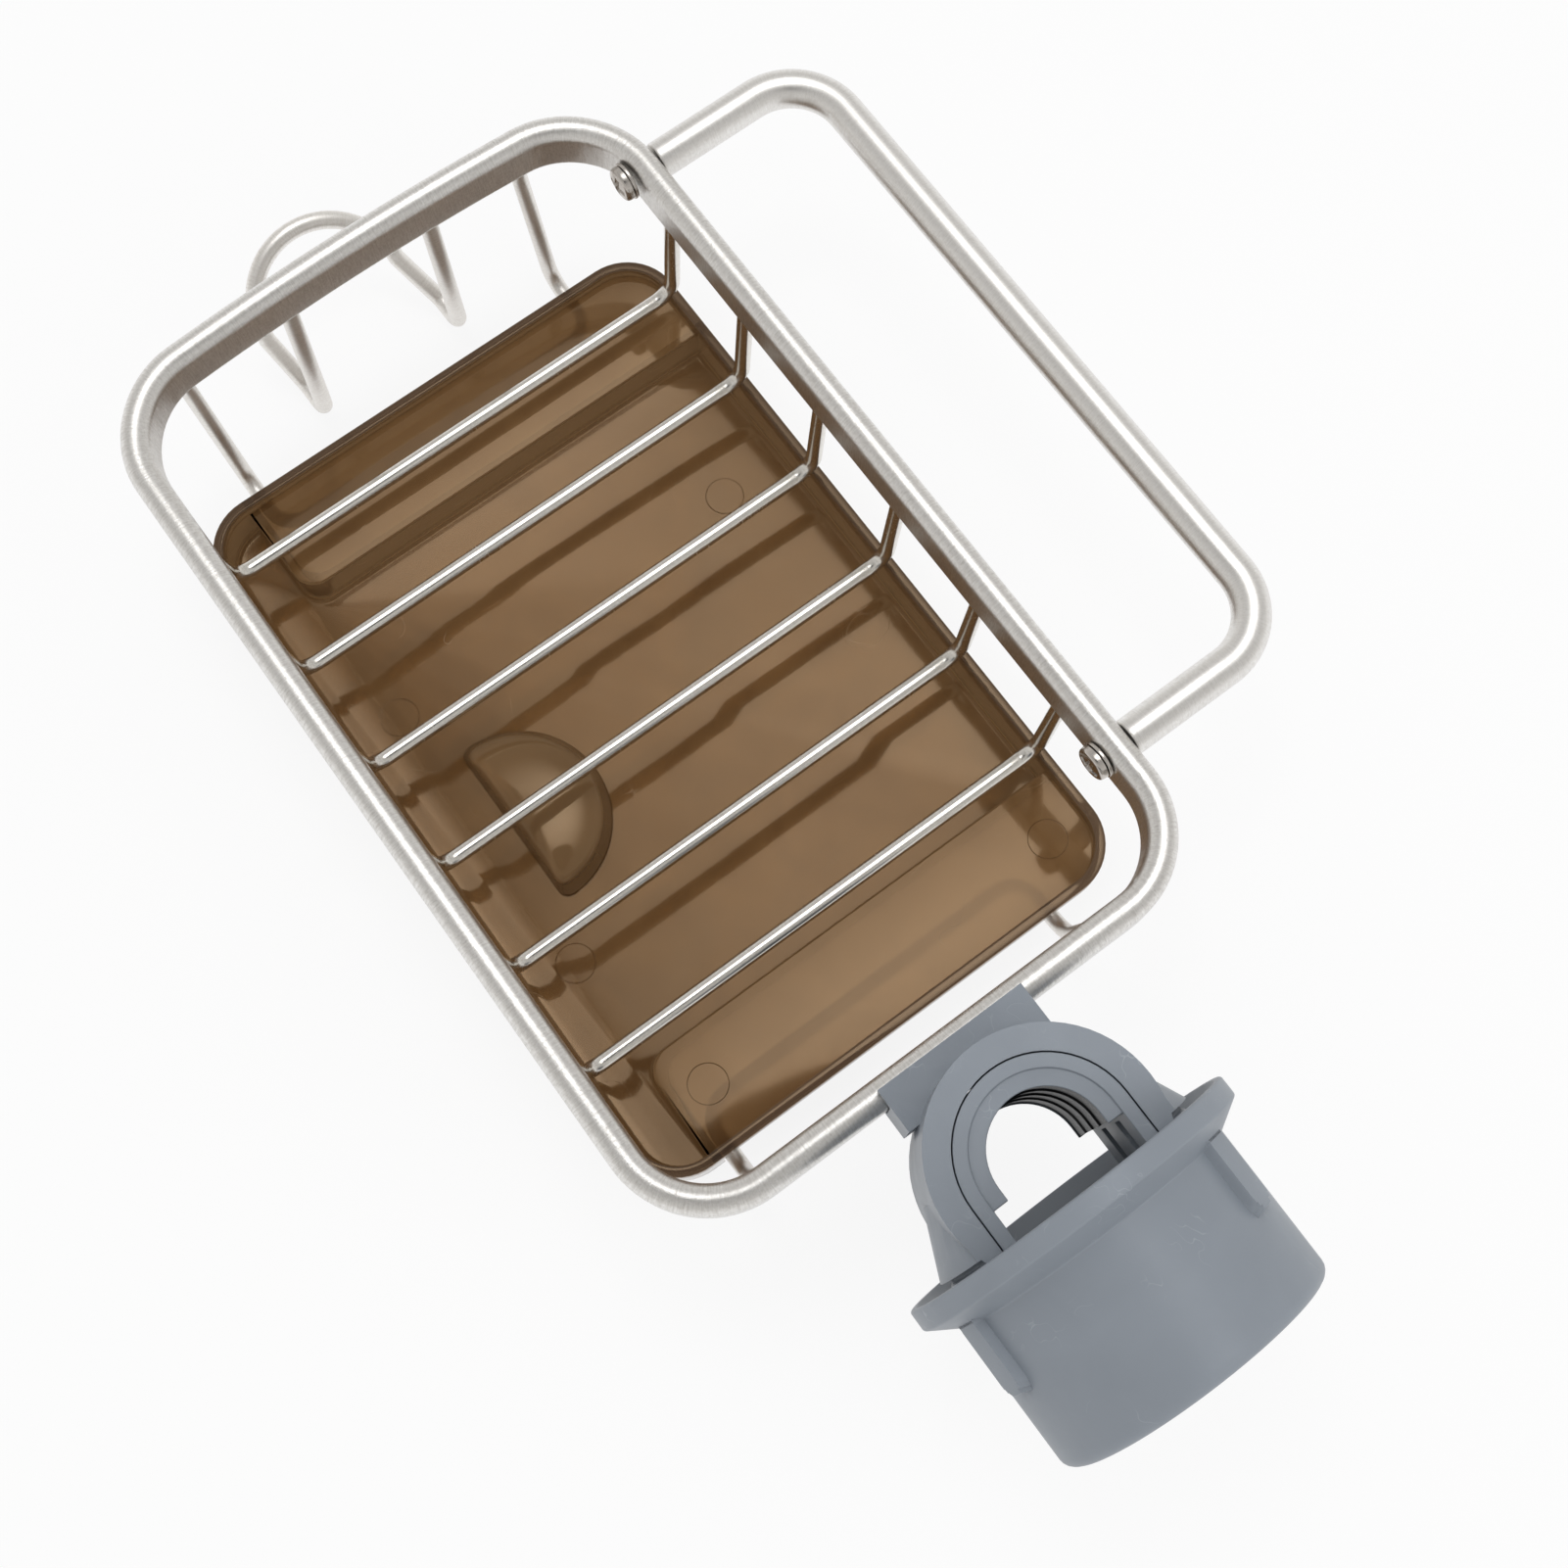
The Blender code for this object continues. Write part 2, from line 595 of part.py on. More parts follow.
def build_hook():
    """One wire: two legs down, two bends outward and an arch that joins the strands."""
    foot = RIM_FOOT_Z - GAP
    leg_y = (HOOK_SHIFT - HOOK_SPREAD / 2, HOOK_SHIFT + HOOK_SPREAD / 2)
    low_y = (HOOK_LOW_SHIFT - HOOK_LOW_SPREAD / 2, HOOK_LOW_SHIFT + HOOK_LOW_SPREAD / 2)
    leg_x = [rim_axis_x(-1, y) for y in leg_y]
    low_x = [x + HOOK_LEAN for x in leg_x]
    strand_x = min(low_x) - 2 * HOOK_BEND
    out = Vector((-math.sin(HOOK_TILT), 0.0, math.cos(HOOK_TILT)))
    rise = (HOOK_DEPTH - HOOK_ARCH_TOP) / math.cos(HOOK_TILT) - HOOK_ARCH
    spring = Vector((strand_x, HOOK_LOW_SHIFT + HOOK_ARCH_SHIFT, -HOOK_DEPTH)) + out * rise
    turns = [math.pi * i / ARCH_STEPS for i in range(ARCH_STEPS + 1)]
    across = Vector((0.0, -1.0, 0.0))
    arch = [spring + (across * math.cos(a) + out * math.sin(a)) * HOOK_ARCH for a in turns]
    ends = [(leg_x[i], leg_y[i], foot) for i in range(2)]
    lows = [(low_x[i], low_y[i], -HOOK_DEPTH) for i in range(2)]
    outs = [(strand_x, low_y[i], -HOOK_DEPTH) for i in range(2)]
    bends = (HOOK_BEND * HOOK_BEND_SHARE, HOOK_BEND * HOOK_BEND_SHARE)
    left = rounded_path([ends[0], lows[0], outs[0], arch[0]], bends)
    right = rounded_path([arch[-1], outs[1], lows[1], ends[1]], bends)
    made = wire("double_hook", left[:-1] + arch + right[1:], HOOK_WIRE)
    place(made, PIECES, bright_wire())


def bar_leg_places():
    """X of the towel bar's two legs."""
    return (RIM_MIDDLE_X - RIM_LENGTH / 2 + BAR_FAR_INSET, RIM_MIDDLE_X + RIM_LENGTH / 2 - BAR_NEAR_INSET)


def clamp_screw_places():
    """Y of the two screws that hold the clamp."""
    return (-CLAMP_SCREW_SPREAD / 2, CLAMP_SCREW_SPREAD / 2)


def build_towel_bar():
    """A U of tube whose legs butt against the rim, bored for the screws."""
    far, near = bar_leg_places()
    foot = RIM_WIDTH / 2 + GAP
    corners = [(far, foot, -RIM_DROP), (far, BAR_REACH, -RIM_DROP), (near, BAR_REACH, -RIM_DROP),
               (near, foot, -RIM_DROP)]
    bar = curve_to_mesh(wire("towel_bar", rounded_path(corners, (BAR_BEND, BAR_BEND), 8), BAR_TUBE, 4))
    for number, x in enumerate((far, near), 1):
        depth = SCREW_GRIP + OVERRUN
        cut(bar, rod(f"bar_bore_{number}", (x, foot - OVERRUN, -RIM_DROP), depth + OVERRUN, SHANK_BORE, 'Y',
                     SMALL_STEPS))
    place(bar, PIECES, satin_aluminium())
    smooth(bar)


def recess_slots(name, axis, centre, length):
    """Two crossed slots for a screwdriver, one a little deeper than the other."""
    slots = []
    for long_x, label in ((True, "first"), (False, "second")):
        reach_x = (length if long_x else SCREW_RECESS_WIDTH) / 2
        reach_y = (SCREW_RECESS_WIDTH if long_x else length) / 2
        depth = SCREW_RECESS_DEPTH if long_x else SCREW_RECESS_DEPTH + GAP
        slot = box(f"{name}_{label}", (-reach_x, -reach_y, -OVERRUN), (reach_x, reach_y, depth))
        slot.data.transform(Matrix.Translation(centre) @ axis_turn(axis))
        slots.append(slot)
    return slots


def build_screw(name, seat, axis, length):
    """A pan-head screw whose shank runs from the seat along the axis."""
    turn = axis_turn(axis).to_3x3()
    along = turn @ Vector((0.0, 0.0, 1.0))
    head_start = Vector(seat) - along * SCREW_HEAD_HEIGHT
    screw = rod(name, head_start, SCREW_HEAD_HEIGHT, SCREW_HEAD / 2 - SCREW_HEAD_HEIGHT / 4, axis,
                SMALL_STEPS, SCREW_HEAD / 2)
    root = (SCREW_HEAD_HEIGHT - SCREW_RECESS_DEPTH) / 2
    join(screw, rod(f"{name}_shank", Vector(seat) - along * root, length + root, SCREW_SHANK / 2, axis,
                    SMALL_STEPS))
    cut(screw, *recess_slots(f"{name}_slot", axis, head_start, SCREW_RECESS_LENGTH))
    place(screw, PIECES, polished_steel())
    return smooth(screw)


def inner_wall_y(x):
    """Y of the rim's inner wall on the towel bar's side at a distance from the rim's middle."""
    inner = RIM_CORNER - RIM_TUBE_WIDTH
    past = max(0.0, abs(x) - (RIM_LENGTH / 2 - RIM_CORNER))
    return RIM_INNER_Y - inner + math.sqrt(inner * inner - past * past)


def build_bar_screws():
    """Two screws with washers, from inside the basket into the towel bar."""
    for number, x in enumerate(bar_leg_places(), 1):
        edge = abs(x - RIM_MIDDLE_X) + WASHER_SIZE / 2
        washer_face = inner_wall_y(edge) - GAP
        washer = rod(f"bar_washer_{number}", (x, washer_face - WASHER_THICKNESS, -RIM_DROP), WASHER_THICKNESS,
                     WASHER_SIZE / 2, 'Y', SMALL_STEPS)
        bore = rod(f"bar_washer_{number}_bore", (x, washer_face - WASHER_THICKNESS - OVERRUN, -RIM_DROP),
                   WASHER_THICKNESS + 2 * OVERRUN, SHANK_BORE, 'Y', SMALL_STEPS)
        cut(washer, bore)
        place(washer, PIECES, polished_steel())
        smooth(washer)
        seat = (x, washer_face - WASHER_THICKNESS - GAP, -RIM_DROP)
        build_screw(f"bar_screw_{number}", seat, 'Y', RIM_WIDTH / 2 + SCREW_GRIP - seat[1])


def build_clamp_screws():
    """Two countersunk screws from inside the basket, through the rim into the clamp's block."""
    head = (CLAMP_SCREW_HEAD - SCREW_SHANK) / 2
    for number, y in enumerate(clamp_screw_places(), 1):
        name = f"clamp_screw_{number}"
        seat = (RIM_WALL_X, y, CLAMP_SCREW_Z)
        root = (RIM_WALL_X + head / 2, y, CLAMP_SCREW_Z)
        reach = RIM_TUBE_WIDTH + clamp_screw_grip() - head / 2
        screw = rod(name, seat, head, CLAMP_SCREW_HEAD / 2, 'X', SMALL_STEPS, SCREW_SHANK / 2)
        join(screw, rod(f"{name}_shank", root, reach, SCREW_SHANK / 2, 'X', SMALL_STEPS))
        cut(screw, *recess_slots(f"{name}_slot", 'X', seat, CLAMP_SCREW_RECESS))
        place(screw, PIECES, polished_steel())
        smooth(screw)


def clamp_screw_grip():
    """How far a clamp screw reaches past the rim: short of the liner."""
    return (RIM_TO_HOLE - SLOT_RADIUS) / 2


def flat_top(name, half_height):
    """Two slabs above and below, which trim a round body to its flats."""
    reach = KNOB_FLANGE_RADIUS + THREAD_END
    slabs = []
    for side, label in ((1, "upper"), (-1, "lower")):
        low = half_height if side > 0 else -reach
        high = reach if side > 0 else -half_height
        slabs.append(box(f"{name}_{label}", (-reach, -reach, low), (reach, reach, high)))
    return slabs


def threaded_arms():
    """The threaded end of the body: ridged like its thread, with flats above and below."""
    ridges = int((THREAD_END - SHOULDER) / THREAD_PITCH)
    root = THREAD_RADIUS - THREAD_DEPTH
    profile = [(THREAD_END, 0.0), (THREAD_END, root)]
    for number in range(ridges, 0, -1):
        start = SHOULDER + (number - 1) * THREAD_PITCH
        for share, radius in zip(THREAD_RIDGE_SHARES, (root, THREAD_RADIUS, THREAD_RADIUS, root)):
            profile.append((start + THREAD_PITCH * share, radius))
    profile += [(SHOULDER - OVERRUN, root), (SHOULDER - OVERRUN, 0.0)]
    arms = turned("clamp_thread", profile)
    cut(arms, *flat_top("clamp_thread_flat", THREAD_FLAT))
    return bake(arms)


def build_clamp_body():
    """The clamp's body: block on the rim, open ring round the faucet and threaded arms."""
    half = CLAMP_HEIGHT / 2
    body = rod("clamp_body", (0.0, 0.0, -half), CLAMP_HEIGHT, RING_RADIUS, 'Z')
    arm_y = RING_RADIUS - BLOCK_EDGE
    arms = box("clamp_arms", (0.0, -arm_y, -half), (SHOULDER, arm_y, half))
    flare_start = (-FLARE_START, 0.0, 0.0)
    flare_length = SHOULDER + FLARE_START
    flare = rod("clamp_flare", flare_start, flare_length, RING_RADIUS, 'X', ROUND_STEPS, FLARE_RADIUS)
    flare = bake(cut(flare, *flat_top("clamp_flare_flat", half - BLOCK_EDGE)))
    block_low = RIM_FOOT_Z - BLOCK_LIP
    block_high = RIM_TOP_Z + BLOCK_LIP
    block_start = -RIM_TO_HOLE - BLOCK_COVER
    block = box("clamp_block", (block_start, -BLOCK_WIDTH / 2, block_low),
                (-SLOT_RADIUS, BLOCK_WIDTH / 2, block_high))
    join(body, arms, flare, block, threaded_arms())
    reach = CLAMP_HEIGHT
    slot = rod("clamp_bore", (0.0, 0.0, -reach), 2 * reach, SLOT_RADIUS, 'Z')
    channel = box("clamp_channel", (0.0, -SLOT_RADIUS, -reach), (THREAD_END + OVERRUN, SLOT_RADIUS, reach))
    seat = box("clamp_rim_seat", (block_start - OVERRUN, -BLOCK_WIDTH, RIM_FOOT_Z - GAP),
               (-RIM_TO_HOLE + GAP, BLOCK_WIDTH, RIM_TOP_Z + GAP))
    cut(body, slot, channel, seat)
    depth = OVERRUN + clamp_screw_grip() + OVERRUN / 2
    for number, y in enumerate(clamp_screw_places(), 1):
        start = (-RIM_TO_HOLE - OVERRUN, y, CLAMP_SCREW_Z)
        cut(body, rod(f"clamp_pilot_{number}", start, depth, SHANK_BORE, 'X', SMALL_STEPS))
    place(body, PIECES, clamp_plastic())
    smooth(body)


def liner_outline(outer, inner, end, tail_inner, tail_end):
    """Plan of the liner: a half ring whose two tails run on along X."""
    points = arc((0.0, 0.0), outer, math.pi / 2, math.pi * 3 / 2, HALF_STEPS)
    points += [(tail_end, -outer), (tail_end, -tail_inner), (end, -tail_inner), (end, -inner)]
    points += arc((0.0, 0.0), inner, math.pi * 3 / 2, math.pi / 2, HALF_STEPS)
    points += [(end, inner), (end, tail_inner), (tail_end, tail_inner), (tail_end, outer)]
    return points


def build_liner():
    """The half-ring liner: lips over the pad, a low step on top and grooved tails that guide the jaw."""
    half = CLAMP_HEIGHT / 2
    plan = liner_outline(LINER_OUTER, HOLE_RADIUS, LINER_END, TAIL_INNER, TAIL_END)
    liner = outline_object("clamp_liner", plan, -half, half)
    seat_plan = arc((0.0, 0.0), PAD_SEAT + GAP, math.pi / 2, math.pi * 3 / 2, HALF_STEPS)
    seat_plan += [(LINER_END + OVERRUN, -PAD_SEAT - GAP), (LINER_END + OVERRUN, PAD_SEAT + GAP)]
    cut(liner, outline_object("liner_pad_seat", seat_plan, -half + LINER_LIP, half - LINER_LIP))
    for side, label in ((1, "upper"), (-1, "lower")):
        step_plan = arc((0.0, 0.0), TAIL_INNER, math.pi / 2, math.pi * 3 / 2, HALF_STEPS)
        step_plan += [(LINER_END + OVERRUN, -TAIL_INNER), (LINER_END + OVERRUN, TAIL_INNER)]
        low, high = sorted((side * (half - LINER_STEP), side * (half + OVERRUN)))
        cut(liner, outline_object(f"liner_step_{label}", step_plan, low, high))
        middle = side * TAIL_GROOVE_PLACE
        reach = TAIL_INNER + TAIL_GROOVE_DEPTH
        start = (LINER_END + TAIL_GROOVE_DEPTH, -reach, middle - TAIL_GROOVE / 2)
        end = (TAIL_END + OVERRUN, reach, middle + TAIL_GROOVE / 2)
        cut(liner, box(f"liner_groove_{label}", start, end))
    place(liner, PIECES, clamp_plastic())
    smooth(liner)


def build_liner_pad():
    """The ribbed rubber half ring in the liner."""
    half = CLAMP_HEIGHT / 2 - LINER_LIP - GAP
    face = HOLE_RADIUS + PAD_RIDGE
    plan = arc((0.0, 0.0), PAD_SEAT, math.pi / 2, math.pi * 3 / 2, HALF_STEPS)
    plan += [(LINER_END - GAP, -PAD_SEAT), (LINER_END - GAP, -face)]
    plan += arc((0.0, 0.0), face, math.pi * 3 / 2, math.pi / 2, HALF_STEPS)
    plan += [(LINER_END - GAP, face), (LINER_END - GAP, PAD_SEAT)]
    pad = outline_object("liner_pad", plan, -half, half)
    for number in range(PAD_RIDGES):
        middle = half * (2 * (number + 1) / (PAD_RIDGES + 1) - 1)
        ridge_plan = arc((0.0, 0.0), face + PAD_RIDGE, math.pi / 2, math.pi * 3 / 2, HALF_STEPS)
        ridge_plan += arc((0.0, 0.0), HOLE_RADIUS, math.pi * 3 / 2, math.pi / 2, HALF_STEPS)
        ends = (middle - PAD_RIDGE, middle + PAD_RIDGE)
        join(pad, outline_object(f"pad_ridge_{number + 1}", ridge_plan, *ends))
    place(pad, PIECES, black_rubber())
    smooth(pad)


def build_jaw():
    """The jaw: a plate with tongues in the liner's grooves, a stem in the knob and a rubber pad in front."""
    half_width = TAIL_INNER - JAW_PLAY
    back = JAW_FACE + JAW_PLATE
    jaw = box("clamp_jaw", (JAW_FACE, -half_width, -JAW_HEIGHT / 2), (back, half_width, JAW_HEIGHT / 2))
    tongue = TAIL_INNER + TAIL_GROOVE_DEPTH - JAW_PLAY
    tongue_start = JAW_FACE + JAW_TONGUE_SETBACK
    for side, label in ((1, "upper"), (-1, "lower")):
        low = side * TAIL_GROOVE_PLACE - TAIL_GROOVE / 2 + JAW_PLAY
        high = side * TAIL_GROOVE_PLACE + TAIL_GROOVE / 2 - JAW_PLAY
        join(jaw, box(f"jaw_tongue_{label}", (tongue_start, -tongue, low), (back - GAP, tongue, high)))
    stem_start = JAW_FACE + JAW_PLATE / 2
    join(jaw, rod("jaw_stem", (stem_start, 0.0, 0.0), JAW_STEM_END - stem_start, JAW_STEM, 'X', SMALL_STEPS))
    place(jaw, PIECES, clamp_plastic())
    smooth(jaw)
    pad = box("jaw_pad", (JAW_FACE - GAP - JAW_PAD, -JAW_PAD_WIDTH / 2, -JAW_PAD_HEIGHT / 2),
              (JAW_FACE - GAP, JAW_PAD_WIDTH / 2, JAW_PAD_HEIGHT / 2))
    place(pad, PIECES, black_rubber())
    smooth(pad)


def knob_profile():
    """Half section of the knob, as (along X, radius), from the closed end round to the inner boss."""
    end = KNOB_MOUTH + KNOB_LENGTH
    flange_end = KNOB_MOUTH + KNOB_FLANGE_LIP
    neck = flange_end + KNOB_FLANGE_CONE
    boss = JAW_STEM + GAP
    profile = [(end, 0.0)]
    profile += [(end - KNOB_END_ROUND + KNOB_END_ROUND * math.cos(a),
                 KNOB_END_RADIUS - KNOB_END_ROUND + KNOB_END_ROUND * math.sin(a))
                for a in (math.pi / 2 * i / 4 for i in range(5))]
    profile += [(neck, KNOB_NECK_RADIUS), (flange_end, KNOB_FLANGE_RADIUS), (KNOB_MOUTH, KNOB_FLANGE_RADIUS)]
    profile += [(KNOB_MOUTH, KNOB_FLANGE_RADIUS - KNOB_MOUTH_WALL),
                (KNOB_MOUTH + KNOB_MOUTH_CONE, KNOB_COUNTERBORE),
                (KNOB_MOUTH + KNOB_MOUTH_DEPTH, KNOB_COUNTERBORE),
                (KNOB_MOUTH + KNOB_MOUTH_DEPTH, KNOB_BORE), (end - KNOB_WALL, KNOB_BORE)]
    profile += [(end - KNOB_WALL, boss + KNOB_BOSS_WALL),
                (KNOB_MOUTH + KNOB_BOSS_START, boss + KNOB_BOSS_WALL), (KNOB_MOUTH + KNOB_BOSS_START, boss),
                (JAW_STEM_END + GAP, boss), (JAW_STEM_END + GAP, 0.0)]
    return profile


def build_knob():
    """The cup-shaped nut: conical flange, grip ribs, and a boss that holds the jaw's stem."""
    knob = turned("clamp_knob", knob_profile())
    start = KNOB_MOUTH + KNOB_FLANGE_LIP + KNOB_FLANGE_CONE / 2
    radius = KNOB_RIB_WIDTH / 2
    low = KNOB_END_RADIUS - KNOB_WALL / 2
    high = KNOB_NECK_RADIUS + KNOB_RIB_HEIGHT
    for number in range(KNOB_RIBS):
        angle = KNOB_RIB_ANGLE + 2 * math.pi * number / KNOB_RIBS
        plan = arc((start + KNOB_RIB_LENGTH - radius, 0.0), radius, -math.pi / 2, math.pi / 2, 8)
        plan += [(start, radius), (start, -radius)]
        rib = outline_object(f"knob_rib_{number + 1}", plan, low, high)
        rib.data.transform(Matrix.Rotation(angle - math.pi / 2, 4, 'X'))
        join(knob, rib)
    place(knob, PIECES, clamp_plastic())
    smooth(knob)


def tray_plan(inset):
    """The tray's outline, drawn in by a wall."""
    return rounded_rectangle(TRAY_LENGTH - 2 * inset, TRAY_WIDTH - 2 * inset, TRAY_CORNER - inset,
                             (RIM_MIDDLE_X, 0.0))


def deep_plan():
    """Plan of the tray's deep part: a wide middle and a strip in front of the shelves."""
    outline = tray_plan(TRAY_WALL)
    count = len(outline) // 4
    far_corner, near_corner = outline[2 * count:3 * count], outline[3 * count:]
    back = outline[count][1]
    shelf = SHELF_FRONT_Y
    far = RIM_MIDDLE_X - TRAY_LENGTH / 2 + SHELF_WIDTH
    near = RIM_MIDDLE_X + TRAY_LENGTH / 2 - SHELF_WIDTH
    plan = [(far, back)]
    plan += arc((far - SHELF_CORNER, shelf + SHELF_CORNER), SHELF_CORNER, 0.0, -math.pi / 2, 5)
    plan += [(far_corner[0][0], shelf), *far_corner, *near_corner, (near_corner[-1][0], shelf)]
    plan += arc((near + SHELF_CORNER, shelf + SHELF_CORNER), SHELF_CORNER, -math.pi / 2, -math.pi, 5)
    plan += [(near, back)]
    return plan


def half_moon(name, inset, z_low, z_high):
    """A half-moon block with sloping sides, flat side to the front."""
    middle = RIM_MIDDLE_X + GRIP_SHIFT
    front = -TRAY_WIDTH / 2 + GRIP_FRONT + inset
    half = GRIP_LENGTH / 2 - inset
    reach = GRIP_REACH - 2 * inset
    turns = [math.pi * i / GRIP_STEPS for i in range(GRIP_STEPS + 1)]
    plan = [(middle + half * math.cos(a), front + reach * math.sin(a)) for a in turns]
    obj = outline_object(name, plan, z_low, z_high)
    for vertex in obj.data.vertices:
        if vertex.co.z > (z_low + z_high) / 2:
            vertex.co.x -= (vertex.co.x - middle) * GRIP_SLOPE_SHARE
            vertex.co.y -= (vertex.co.y - front) * GRIP_SLOPE_SHARE
    return obj


def build_tray():
    """The drip tray: deep in the middle and in front, raised at both ends, with a grip in the floor."""
    tray = outline_object("drip_tray", tray_plan(0.0), TRAY_FOOT_Z, TRAY_TOP_Z)
    upper = outline_object("tray_upper_space", tray_plan(TRAY_WALL), SHELF_Z, TRAY_TOP_Z + OVERRUN)
    floor = TRAY_FOOT_Z + TRAY_FLOOR
    deep = outline_object("tray_deep_space", deep_plan(), floor, SHELF_Z + OVERRUN)
    cut(tray, upper, deep)
    pocket_start = TRAY_LENGTH / 2 - SHELF_WIDTH + TRAY_WALL
    for side, label in ((-1, "far"), (1, "near")):
        ends = sorted((RIM_MIDDLE_X + side * pocket_start, RIM_MIDDLE_X + side * (TRAY_LENGTH / 2 + OVERRUN)))
        low = (ends[0], POCKET_FRONT_Y, TRAY_FOOT_Z - OVERRUN)
        high = (ends[1], TRAY_WIDTH / 2 + OVERRUN, SHELF_Z - TRAY_FLOOR)
        cut(tray, box(f"tray_pocket_{label}", low, high))
    top = floor + GRIP_HEIGHT
    join(tray, half_moon("tray_grip", 0.0, TRAY_FOOT_Z + TRAY_FLOOR / 2, top))
    cut(tray, half_moon("tray_grip_recess", TRAY_WALL, TRAY_FOOT_Z - OVERRUN, top - TRAY_FLOOR))
    place(tray, PIECES, smoke_plastic())
    smooth(tray, 30.0)


def build():
    """Model the whole caddy."""
    global PIECES, CUTTERS
    clear_scene()
    PIECES = make_collection("over_faucet_sink_caddy")
    CUTTERS = make_collection("cutters_and_guides")
    build_rim()
    build_cross_wires()
    build_tray_loops()
    build_hook()
    build_towel_bar()
    build_bar_screws()
    build_clamp_screws()
    build_clamp_body()
    build_liner()
    build_liner_pad()
    build_jaw()
    build_knob()
    build_tray()


build()
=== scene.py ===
"""Studio scene of an over-faucet sink caddy: satin rim, bright wires, smoky tray and plastic screw clamp.

Sizes are in metres, and the angles among a class's fields are in degrees.
"""

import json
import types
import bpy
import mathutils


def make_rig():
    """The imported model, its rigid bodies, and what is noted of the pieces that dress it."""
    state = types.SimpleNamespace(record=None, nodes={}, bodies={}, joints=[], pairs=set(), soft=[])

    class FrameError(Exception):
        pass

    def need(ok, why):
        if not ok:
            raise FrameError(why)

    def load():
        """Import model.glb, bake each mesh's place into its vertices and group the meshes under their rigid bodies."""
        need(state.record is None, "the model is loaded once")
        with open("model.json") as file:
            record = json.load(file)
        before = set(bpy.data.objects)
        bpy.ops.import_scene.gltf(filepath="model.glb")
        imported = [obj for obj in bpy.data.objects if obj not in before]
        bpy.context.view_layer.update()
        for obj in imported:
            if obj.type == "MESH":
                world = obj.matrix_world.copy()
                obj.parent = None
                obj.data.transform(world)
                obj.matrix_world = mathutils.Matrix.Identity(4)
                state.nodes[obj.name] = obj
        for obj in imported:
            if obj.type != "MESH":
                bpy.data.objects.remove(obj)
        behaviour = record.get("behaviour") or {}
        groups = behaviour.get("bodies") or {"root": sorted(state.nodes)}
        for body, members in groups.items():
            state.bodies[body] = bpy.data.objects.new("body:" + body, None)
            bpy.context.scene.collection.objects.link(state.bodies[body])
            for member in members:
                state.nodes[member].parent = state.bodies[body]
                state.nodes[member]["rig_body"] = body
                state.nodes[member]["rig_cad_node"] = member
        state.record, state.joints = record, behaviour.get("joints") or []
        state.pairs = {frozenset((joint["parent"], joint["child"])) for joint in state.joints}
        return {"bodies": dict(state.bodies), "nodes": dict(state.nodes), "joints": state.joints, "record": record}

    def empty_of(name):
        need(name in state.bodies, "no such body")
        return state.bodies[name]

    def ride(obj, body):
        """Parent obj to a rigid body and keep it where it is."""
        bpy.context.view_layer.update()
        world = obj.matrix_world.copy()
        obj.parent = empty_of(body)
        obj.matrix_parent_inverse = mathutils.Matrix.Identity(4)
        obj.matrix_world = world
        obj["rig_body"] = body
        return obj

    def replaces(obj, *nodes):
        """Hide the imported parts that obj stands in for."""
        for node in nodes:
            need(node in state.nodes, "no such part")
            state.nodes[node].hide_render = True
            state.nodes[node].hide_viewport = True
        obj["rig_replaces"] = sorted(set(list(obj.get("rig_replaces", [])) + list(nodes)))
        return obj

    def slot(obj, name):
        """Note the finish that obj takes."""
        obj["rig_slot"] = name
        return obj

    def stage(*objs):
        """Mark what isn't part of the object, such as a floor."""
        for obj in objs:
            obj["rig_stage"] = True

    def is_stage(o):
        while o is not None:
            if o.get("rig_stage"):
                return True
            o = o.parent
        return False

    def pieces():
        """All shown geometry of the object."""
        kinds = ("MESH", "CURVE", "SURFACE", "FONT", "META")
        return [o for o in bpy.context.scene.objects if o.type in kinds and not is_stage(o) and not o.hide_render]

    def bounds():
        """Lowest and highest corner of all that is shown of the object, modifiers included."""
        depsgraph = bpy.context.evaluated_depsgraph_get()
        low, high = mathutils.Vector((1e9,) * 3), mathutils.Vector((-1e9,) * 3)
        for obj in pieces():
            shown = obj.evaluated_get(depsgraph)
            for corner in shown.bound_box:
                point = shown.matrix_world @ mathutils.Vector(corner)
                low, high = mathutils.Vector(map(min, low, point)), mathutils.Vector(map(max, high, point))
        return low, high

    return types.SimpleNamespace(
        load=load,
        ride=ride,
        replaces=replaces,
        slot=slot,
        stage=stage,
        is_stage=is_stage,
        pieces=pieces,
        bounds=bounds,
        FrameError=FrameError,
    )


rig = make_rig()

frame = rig.load()

import json
import logging
import math
from abc import ABC, abstractmethod
from dataclasses import dataclass, field
from enum import Enum
from functools import lru_cache
from typing import Optional, Sequence, Union

import bmesh
import bpy
import numpy as np
from mathutils import Matrix, Vector

log = logging.getLogger("sink_caddy")

Points = np.ndarray
Colour = tuple[float, float, float]
Socket = bpy.types.NodeSocket
Value = Union[float, Sequence[float], Socket]
Inputs = dict[Union[str, int], Value]

FLOAT, VECTOR = "NodeSocketFloat", "NodeSocketVector"
FOLLOW = "follow"               # UV map that runs along and around a swept piece, in metres
MIDDLE_X = -0.1404              # rim's middle on the long axis
RIM_Z = -0.00435                # rim's mid-height
RIM_FOOT = -0.01055             # upper ends of the welded wires
GAP = 0.0003                    # left between pieces that touch
CUT_ROUND = 0.0004              # rounding at the cut end of a wire
MERGE = 0.000002                # points nearer than this become one
FLAT_ANGLE = math.radians(1.0)  # faces that turn less than this are one face
CREASE_ANGLE = math.radians(32.0)  # edges that turn more than this get a rounding
UP = np.array((0.0, 0.0, 1.0))
SKEW = np.array((1.0, 1.0, 1.0)) / math.sqrt(3.0)


class Body(Enum):
    """The rigid groups that the pieces ride on."""

    BASKET = "basket"
    TRAY = "tray"
    JAW = "jaw"
    KNOB = "knob"


